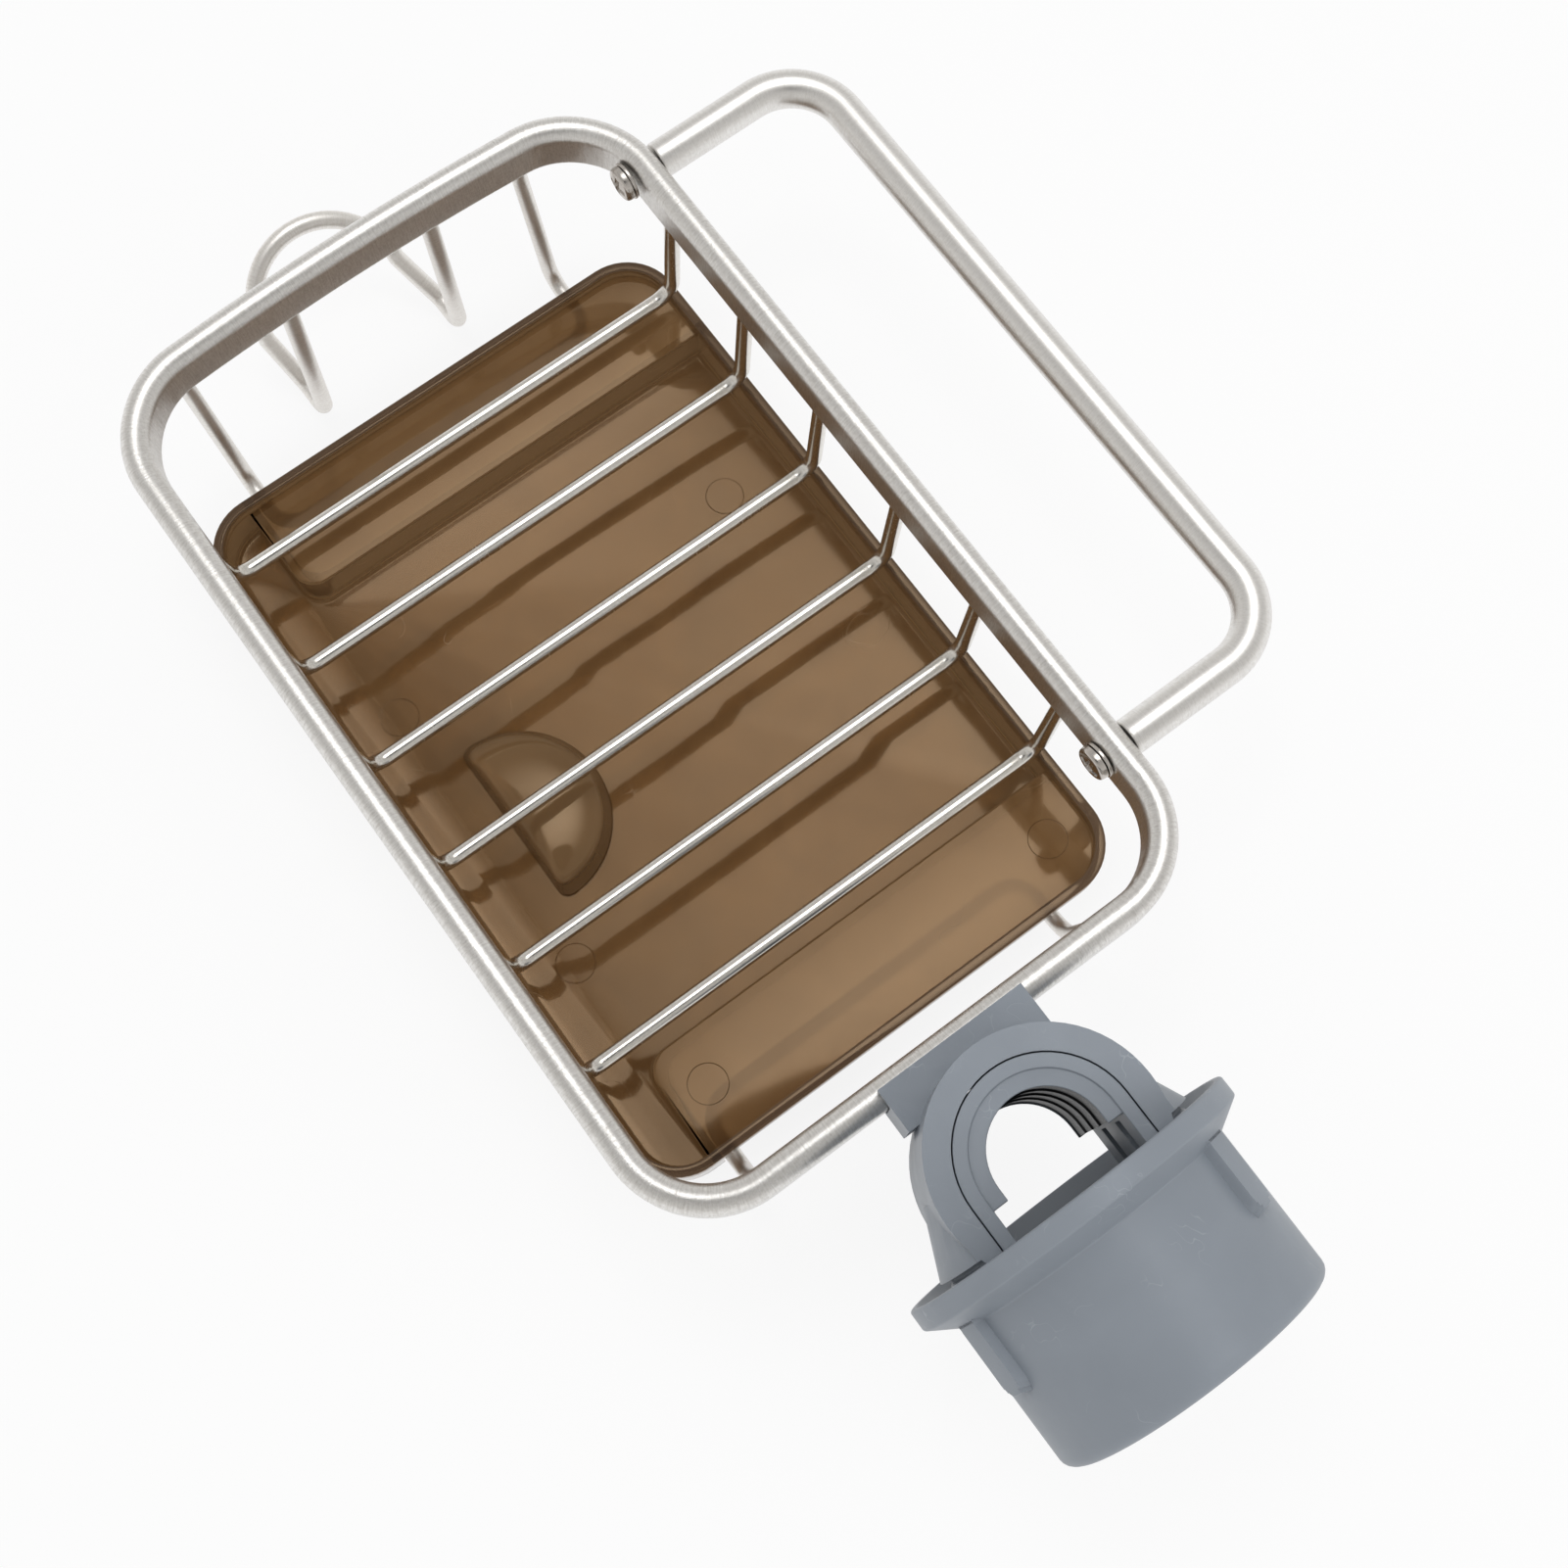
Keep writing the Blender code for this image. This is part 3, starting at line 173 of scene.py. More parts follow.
class End(Enum):
    """The two short ends of the basket."""

    FAR = -1
    NEAR = 1


# Shapes


@dataclass
class Shell:
    """A closed surface on a grid of two parameters: rows along it and columns around it."""

    points: Points
    wrap_rows: bool = False

    def quads(self) -> tuple[Points, Points]:
        """Join neighbouring grid points.

        Returns:
            The quads as point numbers, and the grid place of each quad's corners.
        """
        rows, columns = self.points.shape[:2]
        row_steps = rows if self.wrap_rows else rows - 1
        r, c = np.meshgrid(np.arange(row_steps), np.arange(columns), indexing="ij")
        places = np.stack([np.stack([r, c], -1), np.stack([r + 1, c], -1),
                           np.stack([r + 1, c + 1], -1), np.stack([r, c + 1], -1)], 2).reshape(-1, 4, 2)
        numbers = (places[..., 0] % rows) * columns + places[..., 1] % columns
        return numbers, places

    def lengths(self) -> tuple[Points, Points]:
        """Measure the grid.

        Returns:
            The mean length run so far at each row, and the same at each column of the middle row.
        """
        closed = self.points
        if self.wrap_rows:
            closed = np.concatenate([closed, closed[:1]], 0)
        closed = np.concatenate([closed, closed[:, :1]], 1)
        down = np.linalg.norm(np.diff(closed.mean(1), axis=0), axis=1)
        across = np.linalg.norm(np.diff(closed[len(closed) // 2], axis=0), axis=1)
        return np.concatenate([[0.0], np.cumsum(down)]), np.concatenate([[0.0], np.cumsum(across)])


def show(name: str, data: bpy.types.ID) -> bpy.types.Object:
    """Put a mesh, camera or light into the scene.

    Args:
        name: Name of the object.
        data: What it shows.

    Returns:
        The new object.
    """
    piece = bpy.data.objects.new(name, data)
    bpy.context.scene.collection.objects.link(piece)
    return piece


def build_mesh(name: str, shells: Sequence[Shell], sharp: float = 40.0) -> bpy.types.Object:
    """Put shells into one mesh, close their ends, turn their faces outwards and shade them smooth.

    Args:
        name: Name of the object.
        shells: The surfaces that make the piece.
        sharp: Edges with more degrees than this between their faces stay sharp.

    Returns:
        The new object, with its place in its mesh.
    """
    points, faces, uvs, start = [], [], [], 0
    for shell in shells:
        numbers, places = shell.quads()
        down, across = shell.lengths()
        uvs.append(np.stack([down[places[..., 0]], across[places[..., 1]]], -1).reshape(-1, 2))
        faces += (numbers + start).tolist()
        rows, columns = shell.points.shape[:2]
        if not shell.wrap_rows:
            ring = np.arange(columns)
            faces.append((ring[::-1] + start).tolist())
            faces.append((ring + start + (rows - 1) * columns).tolist())
            flat = shell.points.reshape(-1, 3)
            uvs.append(flat[ring[::-1], :2])
            uvs.append(flat[ring + (rows - 1) * columns, :2])
        points.append(shell.points.reshape(-1, 3))
        start += rows * columns
    mesh = bpy.data.meshes.new(name)
    mesh.from_pydata(np.concatenate(points).tolist(), [], faces)
    layer = mesh.uv_layers.new(name=FOLLOW)
    layer.uv.foreach_set("vector", np.concatenate(uvs).astype(np.float32).ravel())
    work = bmesh.new()
    work.from_mesh(mesh)
    bmesh.ops.remove_doubles(work, verts=work.verts, dist=MERGE)
    bmesh.ops.recalc_face_normals(work, faces=work.faces)
    work.to_mesh(mesh)
    work.free()
    mesh.shade_smooth()
    mesh.set_sharp_from_angle(angle=math.radians(sharp))
    return show(name, mesh)


def arc(centre: Sequence[float], radius: float, start: float, end: float, steps: int) -> Points:
    """Circle points in a plane: centre plus radius times cosine and sine of the angle.

    Args:
        centre: The circle's centre.
        radius: Its radius.
        start: First angle in degrees.
        end: Last angle in degrees.
        steps: Steps between them.

    Returns:
        An array of steps + 1 points.
    """
    angles = np.radians(np.linspace(start, end, steps + 1))
    return np.stack([centre[0] + radius * np.cos(angles), centre[1] + radius * np.sin(angles)], -1)


def rounded_path(corners: Sequence[Sequence[float]], radii: Sequence[float], steps: int) -> Points:
    """Run through corner points with an arc at each inner one.

    The arc's centre is on the corner's bisector, at the radius over the sine of half the angle,
    and its points turn evenly from one tangent point to the other.

    Args:
        corners: The path's corners, in two or three dimensions.
        radii: One radius for each inner corner.
        steps: Steps on each arc.

    Returns:
        The path's points.
    """
    at = np.asarray(corners, float)
    radius = np.asarray(radii, float)[:, None]
    before = at[:-2] - at[1:-1]
    after = at[2:] - at[1:-1]
    before /= np.linalg.norm(before, axis=1, keepdims=True)
    after /= np.linalg.norm(after, axis=1, keepdims=True)
    half = np.arccos(np.clip((before * after).sum(1, keepdims=True), -1.0, 1.0)) / 2
    middle = before + after
    middle /= np.linalg.norm(middle, axis=1, keepdims=True)
    centre = at[1:-1] + middle * radius / np.sin(half)
    reach = radius / np.tan(half)
    first = (at[1:-1] + before * reach - centre) / radius
    last = (at[1:-1] + after * reach - centre) / radius
    sweep_angle = (math.pi - 2 * half)[:, None, :]
    t = np.linspace(0.0, 1.0, steps + 1)[None, :, None]
    turned = (np.sin((1 - t) * sweep_angle) * first[:, None] + np.sin(t * sweep_angle) * last[:, None])
    curved = centre[:, None] + turned / np.sin(sweep_angle) * radius[:, None]
    return np.concatenate([at[:1], curved.reshape(-1, at.shape[1]), at[-1:]])


def fill_in(path: Points, step: float) -> Points:
    """Add even points on a path's long stretches, and keep its own.

    Args:
        path: The path's points.
        step: Longest stretch that stays.

    Returns:
        The path with the added points, apart from those that all but meet the one before.
    """
    least = step * 0.02
    run = np.concatenate([[0.0], np.cumsum(np.linalg.norm(np.diff(path, axis=0), axis=1))])
    places = np.union1d(run, np.arange(0.0, run[-1], step))
    keep = np.concatenate([[True], np.diff(places) > least])
    return np.stack([np.interp(places[keep], run, path[:, i]) for i in range(path.shape[1])], -1)


def sweep(path: Points, profile: Points, reference: Points, closed: bool = False) -> Points:
    """Carry a profile along a path.

    Across the path at each point stand the cross product of its direction and the reference,
    and the cross product of that and the direction. The profile's two coordinates go along these.

    Args:
        path: Points of the path.
        profile: Points of the profile, in two dimensions.
        reference: A direction that the path never takes.
        closed: Whether the path's end meets its start.

    Returns:
        A grid of points, one row for each point of the path.
    """
    ahead = np.roll(path, -1, 0) - np.roll(path, 1, 0)
    if not closed:
        ahead[0] = path[1] - path[0]
        ahead[-1] = path[-1] - path[-2]
    ahead /= np.linalg.norm(ahead, axis=1, keepdims=True)
    side = np.cross(ahead, reference)
    side /= np.linalg.norm(side, axis=1, keepdims=True)
    lift = np.cross(side, ahead)
    return path[:, None] + profile[None, :, :1] * side[:, None] + profile[None, :, 1:] * lift[:, None]


def tube(path: Points, diameter: float, reference: Points, sides: int = 28) -> Shell:
    """A round wire with softly rounded ends: a circle carried along a path.

    At an end the circle's radius falls by the rounding times one minus the sine of an angle,
    while the end's face stands out by the rounding times the angle's cosine.

    Args:
        path: Points of the wire's axis.
        diameter: The wire's thickness.
        reference: A direction that the path never takes.
        sides: Points around the wire.

    Returns:
        The wire's surface.
    """
    circle = arc((0.0, 0.0), 1.0, 0.0, 360.0, sides)[:-1]
    grid = sweep(path, circle * diameter / 2, reference)
    turn = np.radians(np.array((0.0, 30.0, 60.0)))[:, None, None]
    shrink = 1.0 - (1.0 - np.sin(turn)) * CUT_ROUND / (diameter / 2)
    first_way = (path[1] - path[0]) / np.linalg.norm(path[1] - path[0])
    last_way = (path[-2] - path[-1]) / np.linalg.norm(path[-2] - path[-1])

    def end(ring: Points, centre: Points, inward: Points) -> Points:
        """Return rings from the end's face to the wire's side."""
        return centre + (ring - centre) * shrink + inward * (1.0 - np.cos(turn)) * CUT_ROUND

    first = end(grid[0], path[0], first_way)
    last = end(grid[-1], path[-1], last_way)[::-1]
    grid[0] += first_way * CUT_ROUND
    grid[-1] += last_way * CUT_ROUND
    return Shell(np.concatenate([first, grid, last]))


def lathe(profile: Points, columns: int) -> Points:
    """Turn a profile about the X axis: its radius times cosine and sine of the angle goes along Y and Z.

    Args:
        profile: Points of (along, radius).
        columns: Points around the axis.

    Returns:
        A grid of points, one row for each point of the profile.
    """
    angle = np.linspace(0.0, math.tau, columns, endpoint=False)[None]
    along = np.repeat(profile[:, :1], columns, 1)
    return np.stack([along, profile[:, 1:] * np.cos(angle), profile[:, 1:] * np.sin(angle)], -1)


def refined_copy(name: str, node: str, edge: float) -> bpy.types.Object:
    """Copy a CAD node, join its loose triangles into whole faces and round its edges.

    Args:
        name: Name of the copy.
        node: The CAD node.
        edge: Width of the rounding.

    Returns:
        The copy, with its modifier still live.
    """
    mesh = frame["nodes"][node].data.copy()
    work = bmesh.new()
    work.from_mesh(mesh)
    bmesh.ops.remove_doubles(work, verts=work.verts, dist=MERGE)
    bmesh.ops.dissolve_limit(work, angle_limit=FLAT_ANGLE, verts=work.verts, edges=work.edges)
    bmesh.ops.recalc_face_normals(work, faces=work.faces)
    work.to_mesh(mesh)
    work.free()
    mesh.materials.clear()
    mesh.shade_smooth()
    mesh.set_sharp_from_angle(angle=CREASE_ANGLE)
    piece = show(name, mesh)
    rounding = piece.modifiers.new("rounded_edges", 'BEVEL')
    rounding.width = edge
    rounding.segments = 3
    rounding.limit_method = 'ANGLE'
    rounding.angle_limit = CREASE_ANGLE
    rounding.use_clamp_overlap = True
    rounding.harden_normals = True
    return piece


# Shader groups


class Sketch:
    """Short ways to place and join nodes in one tree."""

    def __init__(self, tree: bpy.types.NodeTree) -> None:
        """Keep the tree."""
        self.tree = tree

    def feed(self, node: bpy.types.Node, inputs: Inputs) -> None:
        """Set a node's sockets. A colour is given without alpha, which is one.

        Args:
            node: The node.
            inputs: Socket names or numbers, with a value or the socket to link from.
        """
        for key, value in inputs.items():
            socket = node.inputs[key]
            if isinstance(value, Socket):
                self.tree.links.new(value, socket)
            else:
                socket.default_value = (*value, 1.0) if socket.type == "RGBA" else value

    def node(self, kind: str, inputs: Optional[Inputs] = None, **settings: object) -> bpy.types.Node:
        """Add a node.

        Args:
            kind: The node's type name.
            inputs: Socket names or numbers, with a value or the socket to link from.
            **settings: Properties of the node.

        Returns:
            The new node.
        """
        made = self.tree.nodes.new(kind)
        for key, value in settings.items():
            setattr(made, key, value)
        self.feed(made, inputs or {})
        return made

    def effect(self, tree: bpy.types.NodeTree, inputs: Inputs) -> bpy.types.NodeOutputs:
        """Place a shader group with these inputs and return its outputs."""
        return self.node("ShaderNodeGroup", inputs, node_tree=tree).outputs

    def place(self) -> Socket:
        """Return the point's place on the object."""
        return self.node("ShaderNodeTexCoord").outputs["Object"]

    def noise(self, vector: Socket, scale: Value, detail: float = 2.0, roughness: float = 0.5,
              distortion: float = 0.0) -> bpy.types.NodeOutputs:
        """Add a noise texture.

        Args:
            vector: Where it is read.
            scale: Its waves in a metre.
            detail: Finer layers on it.
            roughness: How strong these are.
            distortion: How far it is bent.

        Returns:
            Its outputs, the value and then the colour.
        """
        return self.node("ShaderNodeTexNoise", {"Vector": vector, "Scale": scale, "Detail": detail,
                                                "Roughness": roughness, "Distortion": distortion}).outputs

    def bump(self, height: Socket, distance: float) -> Socket:
        """Return the normal of a surface with these heights, where one stands for the distance."""
        return self.node("ShaderNodeBump", {"Height": height, "Distance": distance}).outputs[0]

    def math(self, operation: str, first: Value, second: Value = 0.0) -> Socket:
        """Return the result of a Math node with these values or sockets."""
        return self.node("ShaderNodeMath", {0: first, 1: second}, operation=operation).outputs[0]

    def times(self, first: Value, second: Value) -> Socket:
        """Return the product of two values."""
        return self.math("MULTIPLY", first, second)

    def plus(self, first: Value, second: Value) -> Socket:
        """Return the sum of two values."""
        return self.math("ADD", first, second)

    def vector(self, operation: str, first: Value, second: Value) -> Socket:
        """Return the vector that a Vector Math node makes of these."""
        return self.node("ShaderNodeVectorMath", {0: first, 1: second}, operation=operation).outputs[0]

    def span(self, value: Value, low: float, high: float, to_low: float, to_high: float) -> Socket:
        """Return a value carried from one span to another, held at its ends."""
        inputs = {"Value": value, "From Min": low, "From Max": high, "To Min": to_low, "To Max": to_high}
        return self.node("ShaderNodeMapRange", inputs, clamp=True).outputs[0]

    def blend(self, share: Value, first: Value, second: Value) -> Socket:
        """Return the mix of two colours."""
        return self.node("ShaderNodeMix", {0: share, 6: first, 7: second}, data_type="RGBA").outputs[2]


def new_group(name: str, inputs: dict[str, tuple[str, Optional[float]]],
              outputs: Sequence[str]) -> tuple[Sketch, bpy.types.NodeOutputs, bpy.types.Node]:
    """Start a shader group.

    Args:
        name: The group's name.
        inputs: Socket names with their kind and default value.
        outputs: Names of the values that it puts out.

    Returns:
        A sketch of the group's tree, its inputs as sockets to read, and its output node.
    """
    tree = bpy.data.node_groups.new(name, "ShaderNodeTree")
    for key, (kind, default) in inputs.items():
        made = tree.interface.new_socket(key, in_out="INPUT", socket_type=kind)
        if default is not None:
            made.default_value = default
    for key in outputs:
        tree.interface.new_socket(key, in_out="OUTPUT", socket_type=FLOAT)
    sketch = Sketch(tree)
    return sketch, sketch.node("NodeGroupInput").outputs, sketch.node("NodeGroupOutput")


@lru_cache(maxsize=None)
def cross_brushing() -> bpy.types.NodeTree:
    """Fine strokes across a drawn or blasted metal piece.

    Returns:
        A group with the outputs Tone and Height, both from zero to one.
    """
    sketch, given, out = new_group(
        "cross_brushing", {"Vector": (VECTOR, None), "Fineness": (FLOAT, 4000.0), "Grain": (FLOAT, 900.0)},
        ("Tone", "Height"))
    drawn_out = sketch.vector("MULTIPLY", given["Vector"], (1.0, 0.09, 1.0))
    strokes = sketch.noise(drawn_out, given["Fineness"], 3.0, 0.65)[0]
    grains = sketch.noise(given["Vector"], given["Grain"], 2.0, 0.6)[0]
    both = sketch.plus(sketch.times(strokes, 0.6), sketch.times(grains, 0.4))
    sketch.feed(out, {"Tone": sketch.span(both, 0.32, 0.68, 0.0, 1.0), "Height": both})
    return sketch.tree


@lru_cache(maxsize=None)
def handling_marks() -> bpy.types.NodeTree:
    """Sparse thin scratches and rubbed clouds on a surface.

    A scratch is where a smooth noise passes one half, so it is a thin curved line.

    Returns:
        A group with the outputs Scratches and Clouds, both from zero to one.
    """
    sketch, given, out = new_group(
        "handling_marks", {"Vector": (VECTOR, None), "Scale": (FLOAT, 120.0), "Amount": (FLOAT, 0.5)},
        ("Scratches", "Clouds"))
    at = given["Vector"]
    warp = sketch.vector("MULTIPLY", sketch.noise(at, 25.0, 1.0)[1], (0.02, 0.02, 0.02))
    waves = sketch.noise(sketch.vector("ADD", at, warp), given["Scale"], 1.0)[0]
    away = sketch.math("ABSOLUTE", sketch.math("SUBTRACT", waves, 0.5))
    width = sketch.times(given["Scale"], 0.00005)
    thin = sketch.span(sketch.math("DIVIDE", away, width), 0.0, 1.0, 1.0, 0.0)
    where = sketch.span(sketch.noise(at, 70.0)[0], 0.55, 0.68, 0.0, 1.0)
    clouds = sketch.noise(at, 45.0, 5.0, 0.6, 0.8)[0]
    sketch.feed(out, {"Scratches": sketch.times(sketch.times(thin, where), given["Amount"]),
                      "Clouds": sketch.span(clouds, 0.35, 0.7, 0.0, 1.0)})
    return sketch.tree


@lru_cache(maxsize=None)
def moulded_skin() -> bpy.types.NodeTree:
    """The fine eroded skin of a moulded plastic or rubber piece.

    Returns:
        A group with the outputs Tone and Height, both from zero to one.
    """
    sketch, given, out = new_group("moulded_skin", {"Vector": (VECTOR, None), "Fineness": (FLOAT, 2500.0)},
                                   ("Tone", "Height"))
    flow = sketch.noise(given["Vector"], 60.0, 3.0, 0.5, 0.5)[0]
    sketch.feed(out, {"Tone": sketch.span(flow, 0.3, 0.7, 0.0, 1.0),
                      "Height": sketch.noise(given["Vector"], given["Fineness"])[0]})
    return sketch.tree


# Finishes


def start_material(name: str) -> tuple[bpy.types.Material, Sketch, bpy.types.Node]:
    """Start a material with a Principled shader.

    Args:
        name: The material's name.

    Returns:
        The material, a sketch of its tree and its Principled node.
    """
    made = bpy.data.materials.new(name)
    made.use_nodes = True
    return made, Sketch(made.node_tree), made.node_tree.nodes["Principled BSDF"]


@dataclass(frozen=True)
class Finish(ABC):
    """A material of the caddy and the record's slot that it belongs to."""

    name: str
    slot: str

    @abstractmethod
    def material(self) -> bpy.types.Material:
        """Build the material."""


@dataclass(frozen=True)
class BrushedMetal(Finish):
    """Bare metal with strokes across the piece, on the map that follows it."""

    light: Colour
    dark: Colour
    roughness: float
    spread: float
    fineness: float = 2600.0
    grain: float = 2000.0
    depth: float = 0.00002

    def material(self) -> bpy.types.Material:
        """Build the material.

        Returns:
            A metal whose tone and roughness follow the strokes.
        """
        made, sketch, shader = start_material(self.name)
        follow = sketch.node("ShaderNodeUVMap", uv_map=FOLLOW).outputs[0]
        strokes = sketch.effect(cross_brushing(), {"Vector": follow, "Fineness": self.fineness,
                                                   "Grain": self.grain})
        marks = sketch.effect(handling_marks(), {"Vector": sketch.place(), "Scale": 160.0, "Amount": 0.5})
        tone = sketch.blend(strokes["Tone"], self.dark, self.light)
        smooth, coarse = self.roughness - self.spread / 2, self.roughness + self.spread
        rough = sketch.span(strokes["Tone"], 0.0, 1.0, coarse, smooth)
        sketch.feed(shader, {
            "Base Color": sketch.blend(sketch.times(marks["Clouds"], 0.18), tone, self.dark),
            "Roughness": sketch.plus(rough, sketch.times(marks["Clouds"], 0.05)), "Metallic": 1.0,
            "Normal": sketch.bump(strokes["Height"], self.depth)})
        return made


@dataclass(frozen=True)
class PlatedSteel(Finish):
    """Polished plating of the small fasteners, with a few marks."""

    name: str = "polished_steel_finish"
    slot: str = "polished_steel"
    tint: Colour = (0.62, 0.58, 0.54)

    def material(self) -> bpy.types.Material:
        """Build the material.

        Returns:
            A bright metal, duller where it is rubbed.
        """
        made, sketch, shader = start_material(self.name)
        marks = sketch.effect(handling_marks(), {"Vector": sketch.place(), "Scale": 900.0, "Amount": 0.8})
        dull = tuple(0.6 * part for part in self.tint)
        sketch.feed(shader, {
            "Base Color": sketch.blend(sketch.times(marks["Clouds"], 0.35), self.tint, dull),
            "Roughness": sketch.span(marks["Clouds"], 0.0, 1.0, 0.18, 0.32), "Metallic": 1.0,
            "Normal": sketch.bump(marks["Scratches"], 0.00001)})
        return made


@dataclass(frozen=True)
class MouldedPlastic(Finish):
    """Matte moulded plastic with a fine skin, faint flow and rubbed scuffs."""

    name: str = "clamp_plastic_finish"
    slot: str = "clamp_plastic"
    colour: Colour = (0.238, 0.265, 0.300)
    worn: Colour = (0.40, 0.43, 0.47)
    roughness: float = 0.42

    def material(self) -> bpy.types.Material:
        """Build the material.

        Returns:
            A matte plastic with pale scratches.
        """
        made, sketch, shader = start_material(self.name)
        where = sketch.place()
        skin = sketch.effect(moulded_skin(), {"Vector": where, "Fineness": 2200.0})
        marks = sketch.effect(handling_marks(), {"Vector": where, "Scale": 220.0, "Amount": 0.55})
        deep = tuple(0.93 * part for part in self.colour)
        tone = sketch.blend(skin["Tone"], deep, self.colour)
        smooth, dull = self.roughness - 0.04, self.roughness + 0.06
        sketch.feed(shader, {
            "Base Color": sketch.blend(marks["Scratches"], tone, self.worn),
            "Roughness": sketch.span(marks["Clouds"], 0.0, 1.0, smooth, dull),
            "Normal": sketch.bump(skin["Height"], 0.000012)})
        return made


@dataclass(frozen=True)
class PadRubber(Finish):
    """Black rubber with a dusty bloom."""

    name: str = "pad_rubber_finish"
    slot: str = "black_rubber"
    dark: Colour = (0.006, 0.006, 0.007)
    dusty: Colour = (0.018, 0.018, 0.019)

    def material(self) -> bpy.types.Material:
        """Build the material.

        Returns:
            A dull black rubber.
        """
        made, sketch, shader = start_material(self.name)
        skin = sketch.effect(moulded_skin(), {"Vector": sketch.place(), "Fineness": 3000.0})
        sketch.feed(shader, {
            "Base Color": sketch.blend(skin["Tone"], self.dark, self.dusty),
            "Roughness": sketch.span(skin["Height"], 0.3, 0.7, 0.32, 0.48), "Specular IOR Level": 0.3,
            "Normal": sketch.bump(skin["Height"], 0.00003)})
        return made


@dataclass(frozen=True)
class SmokyPlastic(Finish):
    """Glossy smoky brown plastic of the tray, a little see-through, with wiped swirls.

    Floor and shelves are brown; the walls between them are paler with painted light, the glow of light passing through
    the thin walls; the upper edge is greyer with painted shade, the light lost down through the wall's height.
    """

    name: str = "smoke_plastic_finish"
    slot: str = "smoke_plastic"
    light: Colour = (0.205, 0.108, 0.042)
    dark: Colour = (0.155, 0.078, 0.029)
    # Paler wall tone is painted light: the glow of light passing sideways through the thin walls.
    wall: Colour = (0.300, 0.178, 0.084)
    # Darker edge tone is painted shade: the light lost on the long way down through the wall's height, seen end-on.
    edge: Colour = (0.105, 0.066, 0.044)
    rubbed: Colour = (0.34, 0.25, 0.17)
    mirrored: Colour = (0.90, 0.67, 0.44)
    floor_top: float = -0.0604
    under_shelf: float = -0.0509
    over_shelf: float = -0.0500
    under_edge: float = -0.0478
    soft: float = 0.0003

    def material(self) -> bpy.types.Material:
        """Build the material.

        Returns:
            A tinted glossy plastic that passes part of the light.
        """
        made, sketch, shader = start_material(self.name)
        where = sketch.place()
        marks = sketch.effect(handling_marks(), {"Vector": where, "Scale": 60.0, "Amount": 0.7})
        height = sketch.node("ShaderNodeSeparateXYZ", {0: where}).outputs["Z"]

        def above(level: float) -> Socket:
            """Return one above a height and zero below it, with a soft change."""
            return sketch.span(height, level, level + self.soft, 0.0, 1.0)

        under = sketch.span(height, self.under_shelf, self.under_shelf + self.soft, 1.0, 0.0)
        low_wall_glow = sketch.times(above(self.floor_top), under)
        tone = sketch.blend(marks["Clouds"], self.light, self.dark)
        # Painted light: the walls take a paler tone for the glow of light that passes through them.
        tone = sketch.blend(sketch.math("MAXIMUM", low_wall_glow, above(self.over_shelf)), tone, self.wall)
        # Painted shade: the upper edge takes a darker tone for the light lost down through the wall's height.
        tone = sketch.blend(above(self.under_edge), tone, self.edge)
        rough = sketch.span(marks["Clouds"], 0.0, 1.0, 0.05, 0.10)
        waves = sketch.noise(where, 22.0, 2.0, 0.35, 0.4)[0]
        waves = sketch.plus(waves, sketch.times(marks["Scratches"], 0.03))
        sketch.feed(shader, {
            "Base Color": sketch.blend(sketch.times(marks["Scratches"], 0.6), tone, self.rubbed),
            "Roughness": sketch.plus(rough, sketch.times(marks["Scratches"], 0.2)),
            "Specular Tint": self.mirrored, "Transmission Weight": 0.5, "IOR": 1.5,
            "Normal": sketch.bump(waves, 0.0003)})
        return made


RIM_METAL = BrushedMetal(
    "satin_rim_finish", "satin_aluminium", light=(0.92, 0.91, 0.89), dark=(0.62, 0.60, 0.57),
    roughness=0.33, spread=0.08, grain=1500.0, depth=0.00007)
BAR_METAL = BrushedMetal(
    "satin_bar_finish", "satin_aluminium", light=(0.90, 0.89, 0.87), dark=(0.72, 0.70, 0.67),
    roughness=0.32, spread=0.08, fineness=3200.0, grain=1400.0)
WIRE_METAL = BrushedMetal(
    "bright_wire_finish", "bright_wire", light=(0.88, 0.86, 0.82), dark=(0.66, 0.63, 0.58),
    roughness=0.17, spread=0.10)
LOOP_METAL = BrushedMetal(
    "bright_loop_finish", "bright_wire", light=(0.94, 0.92, 0.89), dark=(0.76, 0.73, 0.69),
    roughness=0.38, spread=0.10)
STEEL = PlatedSteel()
PLASTIC = MouldedPlastic()
RUBBER = PadRubber()
SMOKE = SmokyPlastic()


@dataclass
class Workshop:
    """Makes each finish once and hands finished pieces to the frame."""

    made: dict[str, bpy.types.Material] = field(default_factory=dict)

    def dress(self, piece: bpy.types.Object, finish: Finish, body: Body, *nodes: str) -> None:
        """Give a piece its finish, its body and the CAD nodes that it stands for.

        Args:
            piece: The finished object.
            finish: Its finish.
            body: The body that it rides on.
            *nodes: CAD nodes that it replaces.
        """
        if finish.name not in self.made:
            self.made[finish.name] = finish.material()
        piece.data.materials.clear()
        piece.data.materials.append(self.made[finish.name])
        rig.ride(piece, body.value)
        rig.slot(piece, finish.slot)
        if nodes:
            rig.replaces(piece, *nodes)
        log.info("%s rides on %s with %d faces", piece.name, body.value, len(piece.data.polygons))


# The caddy's parts


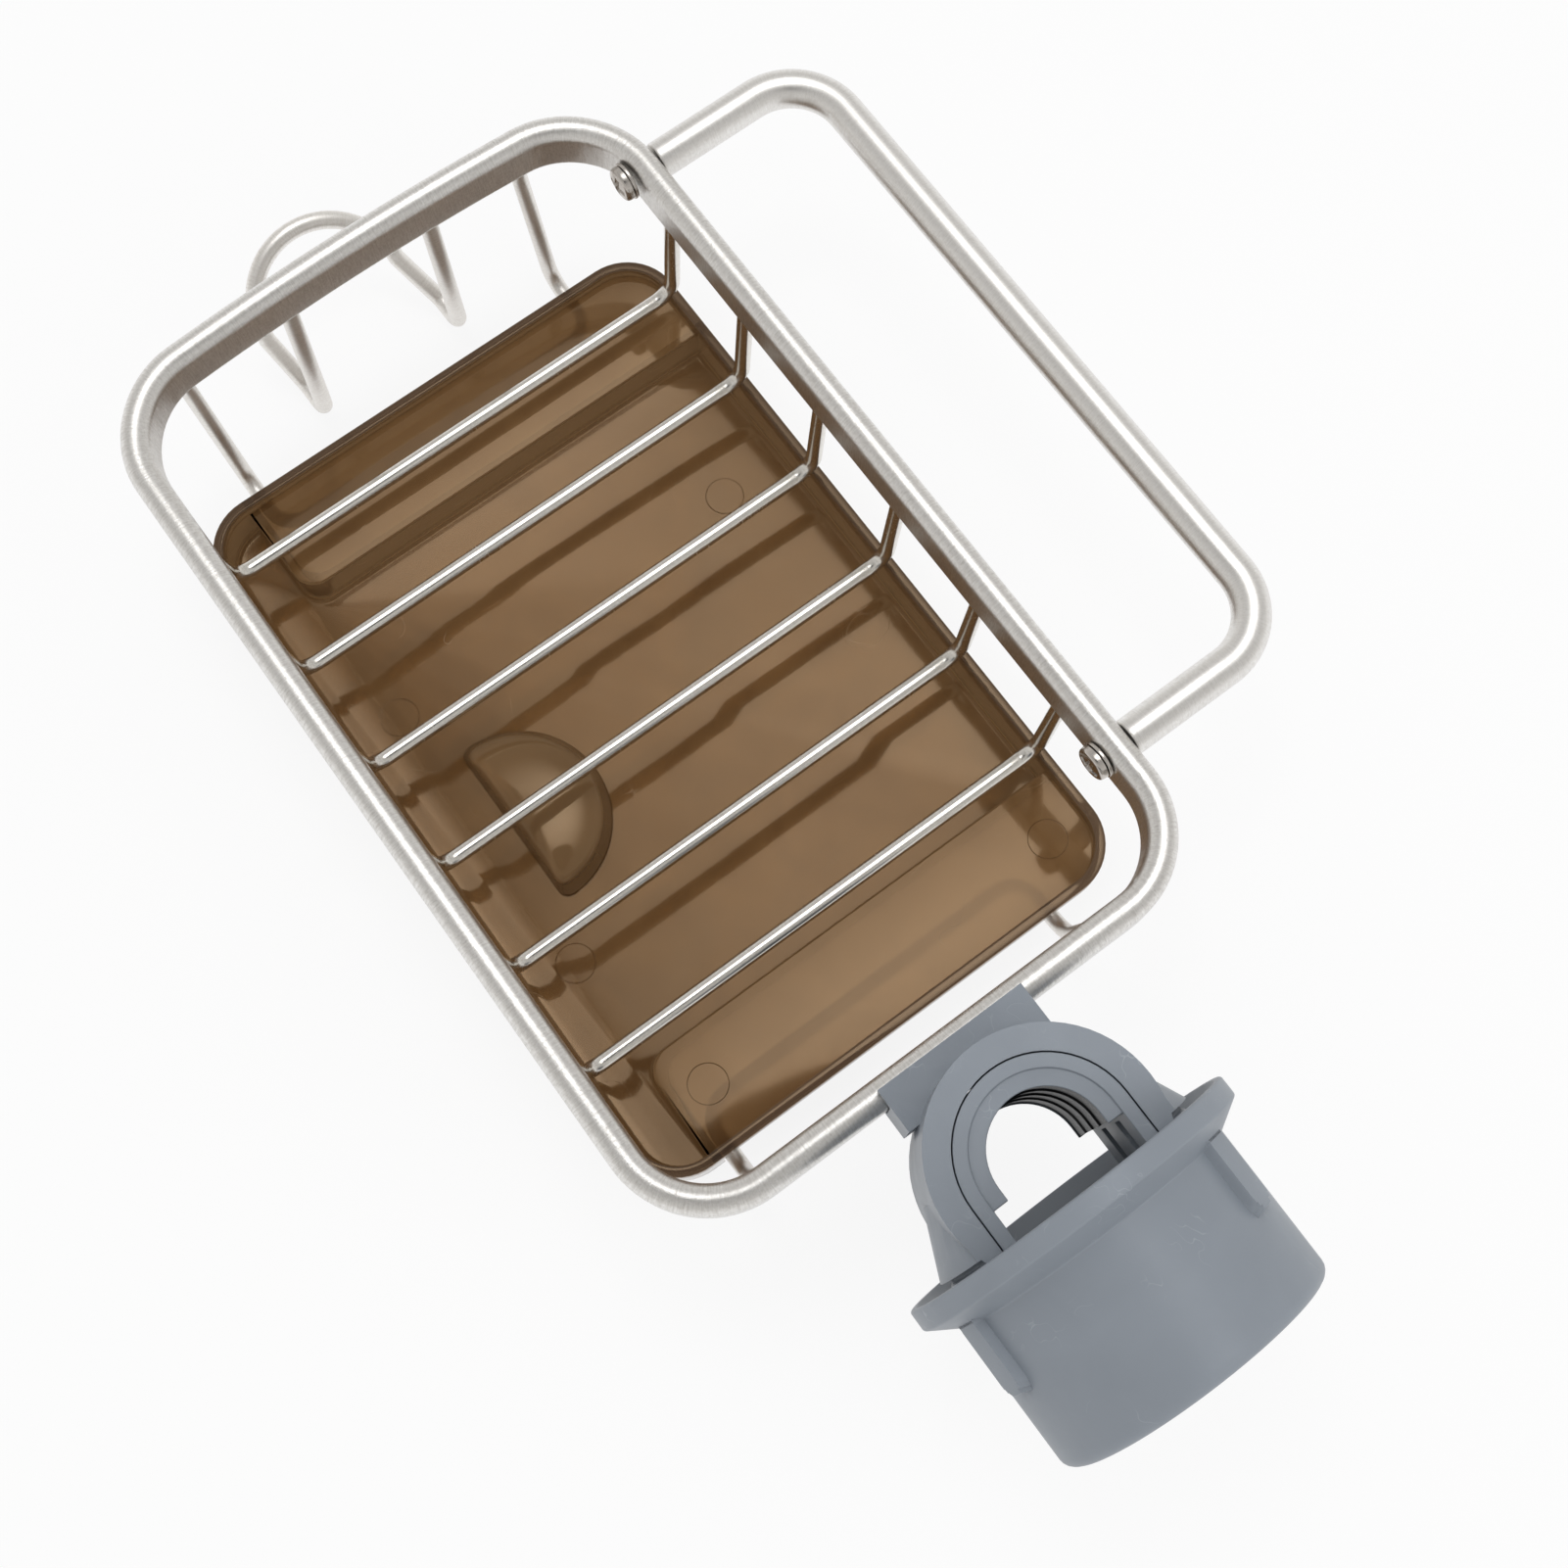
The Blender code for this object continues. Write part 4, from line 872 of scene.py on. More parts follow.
@dataclass
class Rim:
    """The flattened tube that frames the basket."""

    length: float = 0.230
    width: float = 0.141
    corner: float = 0.0238
    tube_width: float = 0.0067
    tube_height: float = 0.0118
    foot_round: float = 0.0012
    bulge: float = 0.0034
    seam: float = 0.0009
    stretch: float = 0.004

    def bow(self, x: Points, y: Points) -> Points:
        """How far the far short side bulges: a parabola across it that fades out over the corners.

        Args:
            x: Places along the basket, from its middle.
            y: Places across it.

        Returns:
            The bulge at each place.
        """
        start = self.length / 2 - self.corner
        weight = np.clip((-x - start) / (self.corner - self.tube_width / 2), 0.0, 1.0)
        spread = np.clip(np.abs(y) / (self.width / 2), 0.0, 1.0)
        return self.bulge * weight * (1.0 - spread ** 2)

    def axis_x(self, end: End, y: float) -> float:
        """Return the place of the tube's middle on a short side."""
        local = end.value * (self.length / 2 - self.tube_width / 2)
        return MIDDLE_X + local - float(self.bow(np.array(local), np.array(y)))

    def profile(self) -> Points:
        """The tube's section.

        Returns:
            Points of a half circle on top, flat sides and small round lower edges.
        """
        half, edge = self.tube_width / 2, self.foot_round
        top = self.tube_height / 2 - half
        low = -self.tube_height / 2 + edge
        return np.concatenate([arc((0.0, top), half, 0.0, 180.0, 24),
                               arc((-half + edge, low), edge, 180.0, 270.0, 5),
                               arc((half - edge, low), edge, 270.0, 360.0, 5)])

    def build(self, shop: Workshop) -> None:
        """Sweep the section along a rounded rectangle whose far side bulges.

        Args:
            shop: The workshop that dresses it.
        """
        inset = self.tube_width / 2
        a, b, r = self.length / 2 - inset, self.width / 2 - inset, self.corner - inset
        quarters = [arc((sx * (a - r), sy * (b - r)), r, 90.0 * k, 90.0 * (k + 1), 20)
                    for k, (sx, sy) in enumerate(((1, 1), (-1, 1), (-1, -1), (1, -1)))]
        flat = fill_in(np.concatenate([[(a, self.seam)], *quarters, [(a, self.seam)]]), self.stretch)[:-1]
        flat[:, 0] -= self.bow(flat[:, 0], flat[:, 1])
        path = np.column_stack([flat[:, 0] + MIDDLE_X, flat[:, 1], np.full(len(flat), RIM_Z)])
        shell = Shell(sweep(path, self.profile(), UP, closed=True), wrap_rows=True)
        shop.dress(build_mesh("satin_rim", [shell]), RIM_METAL, Body.BASKET, "rim_frame")


@dataclass
class WireWork:
    """All the wires that are welded under the rim."""

    rim: Rim
    stub: float = 0.0030
    stub_bend: float = 0.0100
    bend_steps: int = 12
    cross_count: int = 6
    cross_diameter: float = 0.0039
    cross_pitch: float = 0.02964
    cross_shift: float = 0.0075
    cross_depth: float = 0.0438
    cross_bend: float = 0.0060
    cross_lean: float = 0.0020
    loop_diameter: float = 0.0040
    loop_front: float = -0.0481
    loop_back: float = 0.0451
    loop_depth: float = 0.0549
    loop_bend: float = 0.0070
    loop_far_inset: float = 0.0036
    loop_near_inset: float = 0.0060
    loop_tongue: float = 0.0180
    hook_diameter: float = 0.0044
    hook_spread: float = 0.0390
    hook_shift: float = 0.0008
    hook_low_spread: float = 0.0412
    hook_low_shift: float = -0.0013
    hook_lean: float = 0.0014
    hook_depth: float = 0.0578
    hook_bend: float = 0.0043
    hook_bend_share: float = 0.98
    hook_arch: float = 0.0195
    hook_arch_shift: float = -0.0034
    hook_arch_top: float = 0.0318
    hook_arch_steps: int = 36
    hook_tilt: float = 41.8

    def cross_wire(self, number: int) -> Points:
        """Axis of one cross wire: down from the rim, across the basket and up again.

        Args:
            number: Its number from the far end, from zero.

        Returns:
            The path's points.
        """
        x = MIDDLE_X - self.cross_shift + self.cross_pitch * (number - (self.cross_count - 1) / 2)
        top = self.rim.width / 2 - self.rim.tube_width / 2
        low = top - self.cross_lean
        corners = [(x, -top, RIM_FOOT), (x, -top, RIM_FOOT - self.stub), (x, -low, -self.cross_depth),
                   (x, low, -self.cross_depth), (x, top, RIM_FOOT - self.stub), (x, top, RIM_FOOT)]
        bends = (self.stub_bend, self.cross_bend, self.cross_bend, self.stub_bend)
        return rounded_path(corners, bends, self.bend_steps)

    def loop(self, end: End) -> Points:
        """Axis of a tray loop: down from the rim, in under the tray's shelf, across and back.

        Args:
            end: The basket's end that it hangs at.

        Returns:
            The path's points.
        """
        sides = (self.loop_front, self.loop_back)
        top = [self.rim.axis_x(end, y) for y in sides]
        inset = self.loop_far_inset if end is End.FAR else self.loop_near_inset
        low = MIDDLE_X + end.value * (self.rim.length / 2 - self.rim.tube_width / 2 - inset)
        tip = low - end.value * self.loop_tongue
        z = -self.loop_depth
        corners = [(top[0], sides[0], RIM_FOOT), (top[0], sides[0], RIM_FOOT - self.stub), (low, sides[0], z),
                   (tip, sides[0], z), (tip, sides[1], z), (low, sides[1], z),
                   (top[1], sides[1], RIM_FOOT - self.stub), (top[1], sides[1], RIM_FOOT)]
        bends = (self.stub_bend, *(self.loop_bend,) * 4, self.stub_bend)
        return rounded_path(corners, bends, self.bend_steps)

    def hook(self) -> Points:
        """Axis of the double hook: two nearly upright legs, two bends outward and a leaning half circle.

        Returns:
            The path's points.
        """
        legs = [self.hook_shift + side * self.hook_spread / 2 for side in (-1, 1)]
        lows = [self.hook_low_shift + side * self.hook_low_spread / 2 for side in (-1, 1)]
        leg_x = [self.rim.axis_x(End.FAR, y) for y in legs]
        low_x = [x + self.hook_lean for x in leg_x]
        tilt = math.radians(self.hook_tilt)
        out = np.array((-math.sin(tilt), 0.0, math.cos(tilt)))
        across = np.array((0.0, -1.0, 0.0))
        strand_x = min(low_x) - 2 * self.hook_bend
        rise = (self.hook_depth - self.hook_arch_top) / math.cos(tilt) - self.hook_arch
        deep = -self.hook_depth
        middle = np.array((strand_x, self.hook_low_shift + self.hook_arch_shift, deep)) + out * rise
        turn = np.linspace(0.0, math.pi, self.hook_arch_steps + 1)[:, None]
        arch = middle + across * self.hook_arch * np.cos(turn) + out * self.hook_arch * np.sin(turn)
        first, last = [(leg_x[i], legs[i], RIM_FOOT) for i in range(2)]
        bottoms = [[(low_x[i], lows[i], deep), (strand_x, lows[i], deep)] for i in range(2)]
        bends = (self.hook_bend * self.hook_bend_share,) * 2
        front = rounded_path([first, *bottoms[0], arch[0]], bends, self.bend_steps)
        back = rounded_path([arch[-1], *bottoms[1][::-1], last], bends, self.bend_steps)
        return np.concatenate([front[:-1], arch, back[1:]])

    def build(self, shop: Workshop) -> None:
        """Make the cross wires, the two tray loops and the hook.

        Args:
            shop: The workshop that dresses them.
        """
        along = np.array((1.0, 0.0, 0.0))
        for number in range(self.cross_count):
            shell = tube(self.cross_wire(number), self.cross_diameter, along)
            piece = build_mesh(f"bright_cross_wire_{number + 1}", [shell])
            shop.dress(piece, WIRE_METAL, Body.BASKET, f"cross_wire_{number + 1}")
        for end, node in ((End.FAR, "tray_loop_far"), (End.NEAR, "tray_loop_near")):
            reference = SKEW * np.array((end.value, 1.0, 1.0))
            piece = build_mesh(f"bright_{node}", [tube(self.loop(end), self.loop_diameter, reference)])
            shop.dress(piece, LOOP_METAL, Body.BASKET, node)
        piece = build_mesh("bright_double_hook", [tube(self.hook(), self.hook_diameter, SKEW)])
        shop.dress(piece, LOOP_METAL, Body.BASKET, "double_hook")


@dataclass
class TowelBar:
    """The U-shaped tube on the long side, with its screws and washers."""

    rim: Rim
    diameter: float = 0.0088
    far: float = 0.0918
    near: float = 0.0825
    reach: float = 0.1141
    bend: float = 0.0157
    bend_steps: int = 24
    sides: int = 48
    head: float = 0.0084
    head_columns: int = 96
    head_height: float = 0.0022
    head_fall: float = 0.30
    slot_reach: float = 0.0026
    slot_half: float = 0.0007
    slot_depth: float = 0.0016
    slot_soft: float = 0.00016
    washer: float = 0.0090
    washer_hole: float = 0.0026
    washer_thickness: float = 0.0008
    washer_edge: float = 0.0002
    washer_columns: int = 64
    seats: tuple[float, float] = (0.0619, 0.0627)

    def head_shell(self) -> Points:
        """A pan head: height falls with the square of the radius, and two crossed slots sink into it.

        The slots are deepest in the middle and rise to nothing at the head's edge.

        Returns:
            A grid of points about the origin, with the head's outer side along +X.
        """
        share = np.concatenate([np.linspace(0.0, 0.86, 30), np.linspace(0.88, 1.0, 8)])[:, None]
        angle = np.linspace(0.0, math.tau, self.head_columns, endpoint=False)[None]
        radius = share * self.head / 2
        across, up = radius * np.cos(angle), radius * np.sin(angle)
        side = np.sqrt(np.clip(1.0 - share ** 20, 0.0, 1.0))
        dome = self.head_height * (1.0 - self.head_fall * share ** 2) * side

        def slot(long_way: Points, short_way: Points) -> Points:
            """One inside a slot, falling softly to zero at its sides.

            Args:
                long_way: Distances along the slot.
                short_way: Distances across it.

            Returns:
                The share of the slot's depth at each point.
            """
            inside = np.minimum((self.slot_half - np.abs(short_way)) / self.slot_soft,
                                (self.slot_reach - np.abs(long_way)) / self.slot_soft)
            return np.clip(inside + 0.5, 0.0, 1.0)

        rise = 1.0 - np.sqrt(across ** 2 + up ** 2) / (self.head / 2)
        sunk = np.maximum(slot(across, up), slot(up, across)) * rise
        return np.stack([dome - self.slot_depth * np.clip(sunk, 0.0, 1.0), across, up], -1)

    def fastener(self, x: float, seat: float) -> tuple[Shell, Shell]:
        """The head and the washer of one screw, facing into the basket.

        Args:
            x: Place of the screw along the rim.
            seat: Distance of the washer's inner face from the rim's middle.

        Returns:
            The head and the washer.
        """
        turn = np.array(((0.0, -1.0, 0.0), (1.0, 0.0, 0.0), (0.0, 0.0, 1.0)))
        head = self.head_shell() @ turn
        head[..., 0] += x
        head[..., 1] += seat - GAP
        head[..., 2] += RIM_Z
        half, thick = self.washer / 2, self.washer_thickness
        corners = [(0.0, self.washer_hole), (0.0, half), (thick, half), (thick, self.washer_hole)]
        plate = lathe(rounded_path(corners, (self.washer_edge,) * 2, 4), self.washer_columns) @ turn
        plate = np.stack([plate[..., 0] + x, seat + thick + plate[..., 1], plate[..., 2] + RIM_Z], -1)
        return Shell(head), Shell(plate, wrap_rows=True)

    def build(self, shop: Workshop) -> None:
        """Make the bar and its visible screws.

        Args:
            shop: The workshop that dresses them.
        """
        far, near, foot = MIDDLE_X - self.far, MIDDLE_X + self.near, self.rim.width / 2 + GAP
        corners = [(far, foot, RIM_Z), (far, self.reach, RIM_Z),
                   (near, self.reach, RIM_Z), (near, foot, RIM_Z)]
        path = rounded_path(corners, (self.bend, self.bend), self.bend_steps)
        shell = tube(path, self.diameter, UP, self.sides)
        shop.dress(build_mesh("satin_towel_bar", [shell]), BAR_METAL, Body.BASKET, "towel_bar")
        for number, (x, seat) in enumerate(zip((far, near), self.seats), 1):
            head, plate = self.fastener(x, seat)
            piece = build_mesh(f"phillips_head_{number}", [head])
            shop.dress(piece, STEEL, Body.BASKET, f"bar_screw_{number}")
            piece = build_mesh(f"head_washer_{number}", [plate])
            shop.dress(piece, STEEL, Body.BASKET, f"bar_washer_{number}")


@dataclass
class Tray:
    """The smoky drip tray: deep in the middle and in front, raised at both ends."""

    length: float = 0.1995
    width: float = 0.1350
    corner: float = 0.0140
    corner_spare: float = 0.0001
    height: float = 0.0155
    top: float = -0.04735
    wall: float = 0.0026
    floor: float = 0.0020
    shelf_width: float = 0.0285
    shelf_drop: float = 0.0032
    shelf_front: float = -0.0530
    shelf_corner: float = 0.0060
    edge: float = 0.0006
    grip_length: float = 0.0460
    grip_reach: float = 0.0250
    grip_height: float = 0.0085
    grip_front: float = 0.0213
    grip_back: float = 0.0008
    grip_root: float = 0.0004
    grip_shift: float = 0.0043
    grip_round: float = 0.0028
    floor_marks: tuple[tuple[float, float], ...] = ((-0.035, -0.052), (-0.035, 0.047), (0.041, -0.052))
    shelf_marks: tuple[tuple[float, float], ...] = ((0.084, -0.0435), (0.085, 0.055))
    mark_radius: float = 0.0048
    mark_edge: float = 0.0001

    def ring(self, inset: float, z: float, deep: Optional[float] = None) -> Points:
        """One closed outline of the tray.

        Its sections match from ring to ring: back side, back right corner, right side down to the
        shelf's front, the shelf's front edge, the rest of that side, front corner, front side, and
        the same mirrored.

        Args:
            inset: How far the outer outline is drawn in.
            z: Height of the ring.
            deep: None for the whole outline, or how far the deep part's outline is drawn in.

        Returns:
            The ring's points, with the same count for every ring.
        """
        # Points on a side, steps round a corner and points on half of the shelf's front edge
        run, turn, half_step = 24, 12, 10
        a, b, r = self.length / 2 - inset, self.width / 2 - inset, self.corner - inset
        if deep is None:
            shelf = self.shelf_front
            back = np.column_stack([np.linspace(0.0, a - r, run, endpoint=False), np.full(run, b)])
            corner = arc((a - r, b - r), r, 90.0, 0.0, turn)
            side = np.column_stack([np.full(run, a), np.linspace(b - r, shelf, run)])
            step = np.column_stack([np.full(2 * half_step, a), np.full(2 * half_step, shelf)])
        else:
            middle = self.length / 2 - self.shelf_width - deep
            shelf, s = self.shelf_front - deep, self.shelf_corner
            back = np.column_stack([np.linspace(0.0, middle, run, endpoint=False), np.full(run, b)])
            corner = np.column_stack([np.full(turn + 1, middle), np.full(turn + 1, b)])
            side = np.column_stack([np.full(run, middle), np.linspace(b, shelf + s, run)])
            bend = arc((middle + s, shelf + s), s, 180.0, 270.0, half_step - 1)
            along = np.linspace(middle + s, a, half_step + 1)[1:]
            step = np.concatenate([bend, np.column_stack([along, np.full(half_step, shelf)])])
        r = min(r, b + shelf - self.corner_spare)
        low = np.column_stack([np.full(4, a), np.linspace(shelf, r - b, 4)])
        front_corner = arc((a - r, r - b), r, 0.0, -90.0, turn)
        front = np.column_stack([np.linspace(a - r, 0.0, run), np.full(run, -b)])[:-1]
        right = np.concatenate([back, corner, side, step, low, front_corner, front])
        flat = np.concatenate([right, right[::-1] * (-1.0, 1.0)])
        return np.column_stack([flat[:, 0] + MIDDLE_X, flat[:, 1], np.full(len(flat), z)])

    def basin(self) -> Shell:
        """The basin: rings run from the underside, up the outer wall, over the edge and down to the floor.

        Each rounded edge is a quarter circle: one minus the sine goes one way while one minus the
        cosine goes the other.

        Returns:
            The basin's surface.
        """
        e, top, foot, wall = self.edge, self.top, self.top - self.height, self.wall
        shelf, floor = top - self.shelf_drop, foot + self.floor
        under = shelf - self.floor
        turns = np.linspace(0.0, math.pi / 2, 5)
        rounds = [(e * (1 - math.sin(t)), e * (1 - math.cos(t))) for t in turns]
        rings = [self.ring(s, foot + c, -wall + s) for s, c in rounds]
        rings += [self.ring(0.0, under, -wall), self.ring(0.0, under)]
        rings += [self.ring(c, top - s) for s, c in rounds]
        rings += [self.ring(wall - s, top - c) for s, c in rounds]
        rings += [self.ring(wall, shelf + e), self.ring(wall, shelf), self.ring(wall, shelf, -e)]
        rings += [self.ring(wall, shelf - c, -s) for s, c in rounds[1:]]
        rings += [self.ring(wall + 2 * c, floor + 2 * s, 2 * c) for s, c in rounds]
        return Shell(np.stack(rings))

    def grip(self) -> Shell:
        """The half-moon grip: rings of a half ellipse with round tips shrink up a wall and over a dome.

        On the wall a ring's height and its shrinking go up evenly. On the dome the height follows
        the sine of an angle and the size a power of its cosine.

        Returns:
            The grip's surface.
        """
        foot = self.top - self.height + self.floor
        half, front, r = self.grip_length / 2, -self.width / 2 + self.grip_front, self.grip_round
        turn = np.radians(np.linspace(0.0, 180.0, 49))
        wide, tall = half - r, self.grip_reach - 2.0 * r
        normal = np.stack([np.cos(turn) / wide, np.sin(turn) / tall], -1)
        normal /= np.linalg.norm(normal, axis=1, keepdims=True)
        bow = np.stack([wide * np.cos(turn), r + tall * np.sin(turn)], -1) + r * normal
        flat = np.stack([np.linspace(-wide, wide, 26)[1:-1], np.zeros(24)], -1)
        shape = np.concatenate([bow, arc((-wide, r), r, 180.0, 270.0, 6)[1:], flat,
                                arc((wide, r), r, 270.0, 360.0, 6)[:-1]]) / (half, self.grip_reach)
        rise = np.linspace(0.05, 1.45, 14)
        share = np.concatenate([np.linspace(0.0, 0.55, 8), 0.55 + 0.45 * np.sin(rise)])[:, None]
        shrink = np.concatenate([1.0 - 0.10 * np.linspace(0.0, 1.0, 8), 0.90 * np.cos(rise) ** 0.8])[:, None]
        x = MIDDLE_X + self.grip_shift + half * shape[None, :, 0] * shrink
        y = front + self.grip_back + self.grip_reach * (shape[None, :, 1] * shrink + (1.0 - shrink) * 0.30)
        z = foot - self.grip_root + (self.grip_height + self.grip_root) * np.repeat(share, len(shape), 1)
        return Shell(np.stack([x, y, z], -1))

    def mark(self, x: float, y: float, z: float) -> Shell:
        """A moulding pin's mark: a circle whose fine round edge stands out of the surface.

        Args:
            x: Its place along the tray, from the rim's middle.
            y: Its place across the tray.
            z: Height of the surface.

        Returns:
            The mark's fine ring.
        """
        turn = np.linspace(0.0, math.tau, 72, endpoint=False)
        path = np.column_stack([MIDDLE_X + x + self.mark_radius * np.cos(turn),
                                y + self.mark_radius * np.sin(turn), np.full(len(turn), z)])
        profile = arc((0.0, 0.0), self.mark_edge, 0.0, 315.0, 8)
        return Shell(sweep(path, profile, UP, closed=True), wrap_rows=True)

    def build(self, shop: Workshop) -> None:
        """Make the tray with its grip and its faint moulding marks.

        Args:
            shop: The workshop that dresses it.
        """
        floor, shelf = self.top - self.height + self.floor, self.top - self.shelf_drop
        shells = [self.basin(), self.grip()]
        shells += [self.mark(x, y, floor) for x, y in self.floor_marks]
        shells += [self.mark(x, y, shelf) for x, y in self.shelf_marks]
        shop.dress(build_mesh("smoky_tray", shells, 30.0), SMOKE, Body.TRAY, "drip_tray")


@dataclass
class Clamp:
    """The faucet clamp: body, liner, pads, jaw and knob."""

    half: float = 0.0198
    hole: float = 0.0122
    liner_end: float = 0.00275
    pad: float = 0.0013
    lip: float = 0.0010
    ridge_height: float = 0.0004
    ridge_half: float = 0.0005
    ridge_peak: float = 1.2
    ridge_places: tuple[float, ...] = (-0.5, 0.0, 0.5)
    mouth: float = 0.0089
    length: float = 0.0417
    flange: float = 0.0389
    flange_lip: float = 0.0045
    flange_cone: float = 0.0040
    neck: float = 0.0324
    end_radius: float = 0.0322
    end_wall: float = 0.0024
    bore: float = 0.0302
    counterbore: float = 0.0322
    mouth_wall: float = 0.0016
    mouth_cone: float = 0.0060
    mouth_depth: float = 0.0078
    boss: float = 0.0078
    boss_depth: float = 0.0130
    pin_hole: float = 0.0053
    pin_end: float = 0.0403
    knob_columns: int = 320
    knob_stretch: float = 0.0009
    rib_angles: tuple[float, ...] = (39.6, 159.6, 279.6)
    rib_width: float = 0.0068
    rib_length: float = 0.0176
    rib_height: float = 0.0022
    rib_soft: float = 0.00035
    rib_foot: float = 0.0315
    side_turn: float = 6.0
    side_reach: float = 1.2
    side_extra: float = 9.0

    def knob_profile(self) -> Points:
        """Half section of the knob, from the middle of its closed end to the middle of its inner boss.

        Returns:
            Points of (along, radius).
        """
        mouth, end = self.mouth, self.mouth + self.length
        lip, deep, inner = mouth + self.flange_lip, mouth + self.mouth_depth, end - self.end_wall
        boss = mouth + self.boss_depth
        bends = (  # each corner along, its distance from the axis and its rounding
            (end, self.end_radius, 0.0025), (lip + self.flange_cone, self.neck, 0.0006),
            (lip, self.flange, 0.0008), (mouth, self.flange, 0.0006),
            (mouth, self.flange - self.mouth_wall, 0.0004),
            (mouth + self.mouth_cone, self.counterbore, 0.001),
            (deep, self.counterbore, 0.0003), (deep, self.bore, 0.0003),
            (inner, self.bore, 0.0008), (inner, self.boss, 0.0008),
            (boss, self.boss, 0.0003), (boss, self.pin_hole, 0.0003), (self.pin_end, self.pin_hole, 0.0002))
        corners = [(end, 0.0), *(bend[:2] for bend in bends), (self.pin_end, 0.0)]
        return rounded_path(corners, [bend[2] for bend in bends], 5)

    def knob_angles(self) -> Points:
        """Angles of the knob's columns, which stand up to ten times closer at the ribs' sides.

        Their density is one, plus an extra share that falls as a bell curve away from a rib's side.

        Returns:
            The angles in degrees.
        """
        even = np.linspace(0.0, 360.0, 3600, endpoint=False)
        sides = np.array([middle + side * self.side_turn for middle in self.rib_angles for side in (-1, 1)])
        away = np.abs((even[:, None] - sides[None] + 180.0) % 360.0 - 180.0).min(1)
        weight = np.cumsum(1.0 + self.side_extra * np.exp(-((away / self.side_reach) ** 2)))
        return np.interp(np.arange(self.knob_columns) / self.knob_columns * weight[-1], weight, even)

    def knob(self) -> Shell:
        """The knob: a turned profile, raised by the ribs, which are long rounds with soft sides.

        A rib's height is one inside a distance of half its width from its middle line,
        and falls to zero over a short way at its side.

        Returns:
            The knob's surface.
        """
        profile = fill_in(self.knob_profile(), self.knob_stretch)
        angle = self.knob_angles()[None]
        turn = np.radians(angle)
        along, radius = profile[:, :1], profile[:, 1:]
        across, up = radius * np.cos(turn), radius * np.sin(turn)
        grid = np.stack([np.repeat(along, self.knob_columns, 1), across, up], -1)
        start = self.mouth + self.flange_lip + self.flange_cone / 2
        stop = start + self.rib_length - self.rib_width / 2
        height = np.zeros(grid.shape[:2])
        for middle in self.rib_angles:
            away = np.radians((angle - middle + 180.0) % 360.0 - 180.0) * radius
            past = np.maximum(along - stop, 0.0)
            share = (self.rib_width / 2 - np.hypot(away, past)) / self.rib_soft
            height = np.maximum(height, np.clip(share + 0.5, 0.0, 1.0))
        first_half = np.arange(len(profile))[:, None] < len(profile) // 2
        outer = (radius > self.rib_foot) & (along > start) & first_half
        raised = np.where(outer, np.maximum(self.neck + self.rib_height - radius, 0.0) * height, 0.0)
        grid[..., 1:] *= (1.0 + raised / np.maximum(radius, 0.001))[..., None]
        return Shell(grid)

    def liner_pad(self) -> Shell:
        """The rubber half ring: a ridged section is carried round, and straight on to the liner's ends.

        The section's inner radius falls at the ridges. A ridge's share is its peak less the distance
        from its middle over its half width, held between zero and one.

        Returns:
            The pad's surface.
        """
        h = self.half - self.lip - GAP
        z = np.linspace(h, -h, 121)
        near = np.min(np.abs(z[:, None] - h * np.array(self.ridge_places)[None]), 1)
        inner = self.hole + self.ridge_height
        inner = inner - self.ridge_height * np.clip(self.ridge_peak - near / self.ridge_half, 0.0, 1.0)
        outer = self.hole + self.pad
        section = np.concatenate([np.column_stack([inner, z]), [(outer, -h), (outer, h)]])
        turn = np.radians(np.linspace(90.0, 270.0, 65))
        run = np.array((self.liner_end - GAP, (self.liner_end - GAP) / 2))
        radius, turn = section[None, :, 0], turn[:, None]
        straight, flat = np.repeat(run[:, None], len(section), 1), np.repeat(radius, 2, 0)
        x = np.concatenate([straight, radius * np.cos(turn), straight[::-1]])
        y = np.concatenate([flat, radius * np.sin(turn), -flat])
        return Shell(np.stack([x, y, np.broadcast_to(section[:, 1], x.shape)], -1))

    def build(self, shop: Workshop) -> None:
        """Make the clamp's pieces.

        Args:
            shop: The workshop that dresses them.
        """
        piece = refined_copy("clamp_block_and_ring", "clamp_body", 0.0005)
        shop.dress(piece, PLASTIC, Body.BASKET, "clamp_body")
        piece = refined_copy("half_ring_liner", "clamp_liner", 0.0003)
        shop.dress(piece, PLASTIC, Body.BASKET, "clamp_liner")
        shop.dress(build_mesh("ribbed_liner_pad", [self.liner_pad()], 30.0), RUBBER, Body.BASKET, "liner_pad")
        shop.dress(build_mesh("cup_knob", [self.knob()], 35.0), PLASTIC, Body.KNOB, "clamp_knob")
        shop.dress(refined_copy("sliding_jaw", "clamp_jaw", 0.0004), PLASTIC, Body.JAW, "clamp_jaw")
        shop.dress(refined_copy("jaw_face_pad", "jaw_pad", 0.0003), RUBBER, Body.JAW, "jaw_pad")
        for number in (1, 2):
            piece = refined_copy(f"clamp_fastener_{number}", f"clamp_screw_{number}", 0.0002)
            shop.dress(piece, STEEL, Body.BASKET, f"clamp_screw_{number}")


# The studio


@dataclass
class Lamp:
    """A square soft light, which reflections don't find."""

    name: str
    place: tuple[float, float, float]
    target: tuple[float, float, float]
    size: float
    watts: float

    def build(self) -> None:
        """Hang the lamp at its place, turned to its target."""
        data = bpy.data.lights.new(self.name, "AREA")
        data.size = self.size
        data.energy = self.watts
        lamp = show(self.name, data)
        lamp.visible_glossy = False
        aim = Vector(self.target) - Vector(self.place)
        lamp.matrix_world = Matrix.Translation(self.place) @ aim.to_track_quat("-Z", "Y").to_matrix().to_4x4()


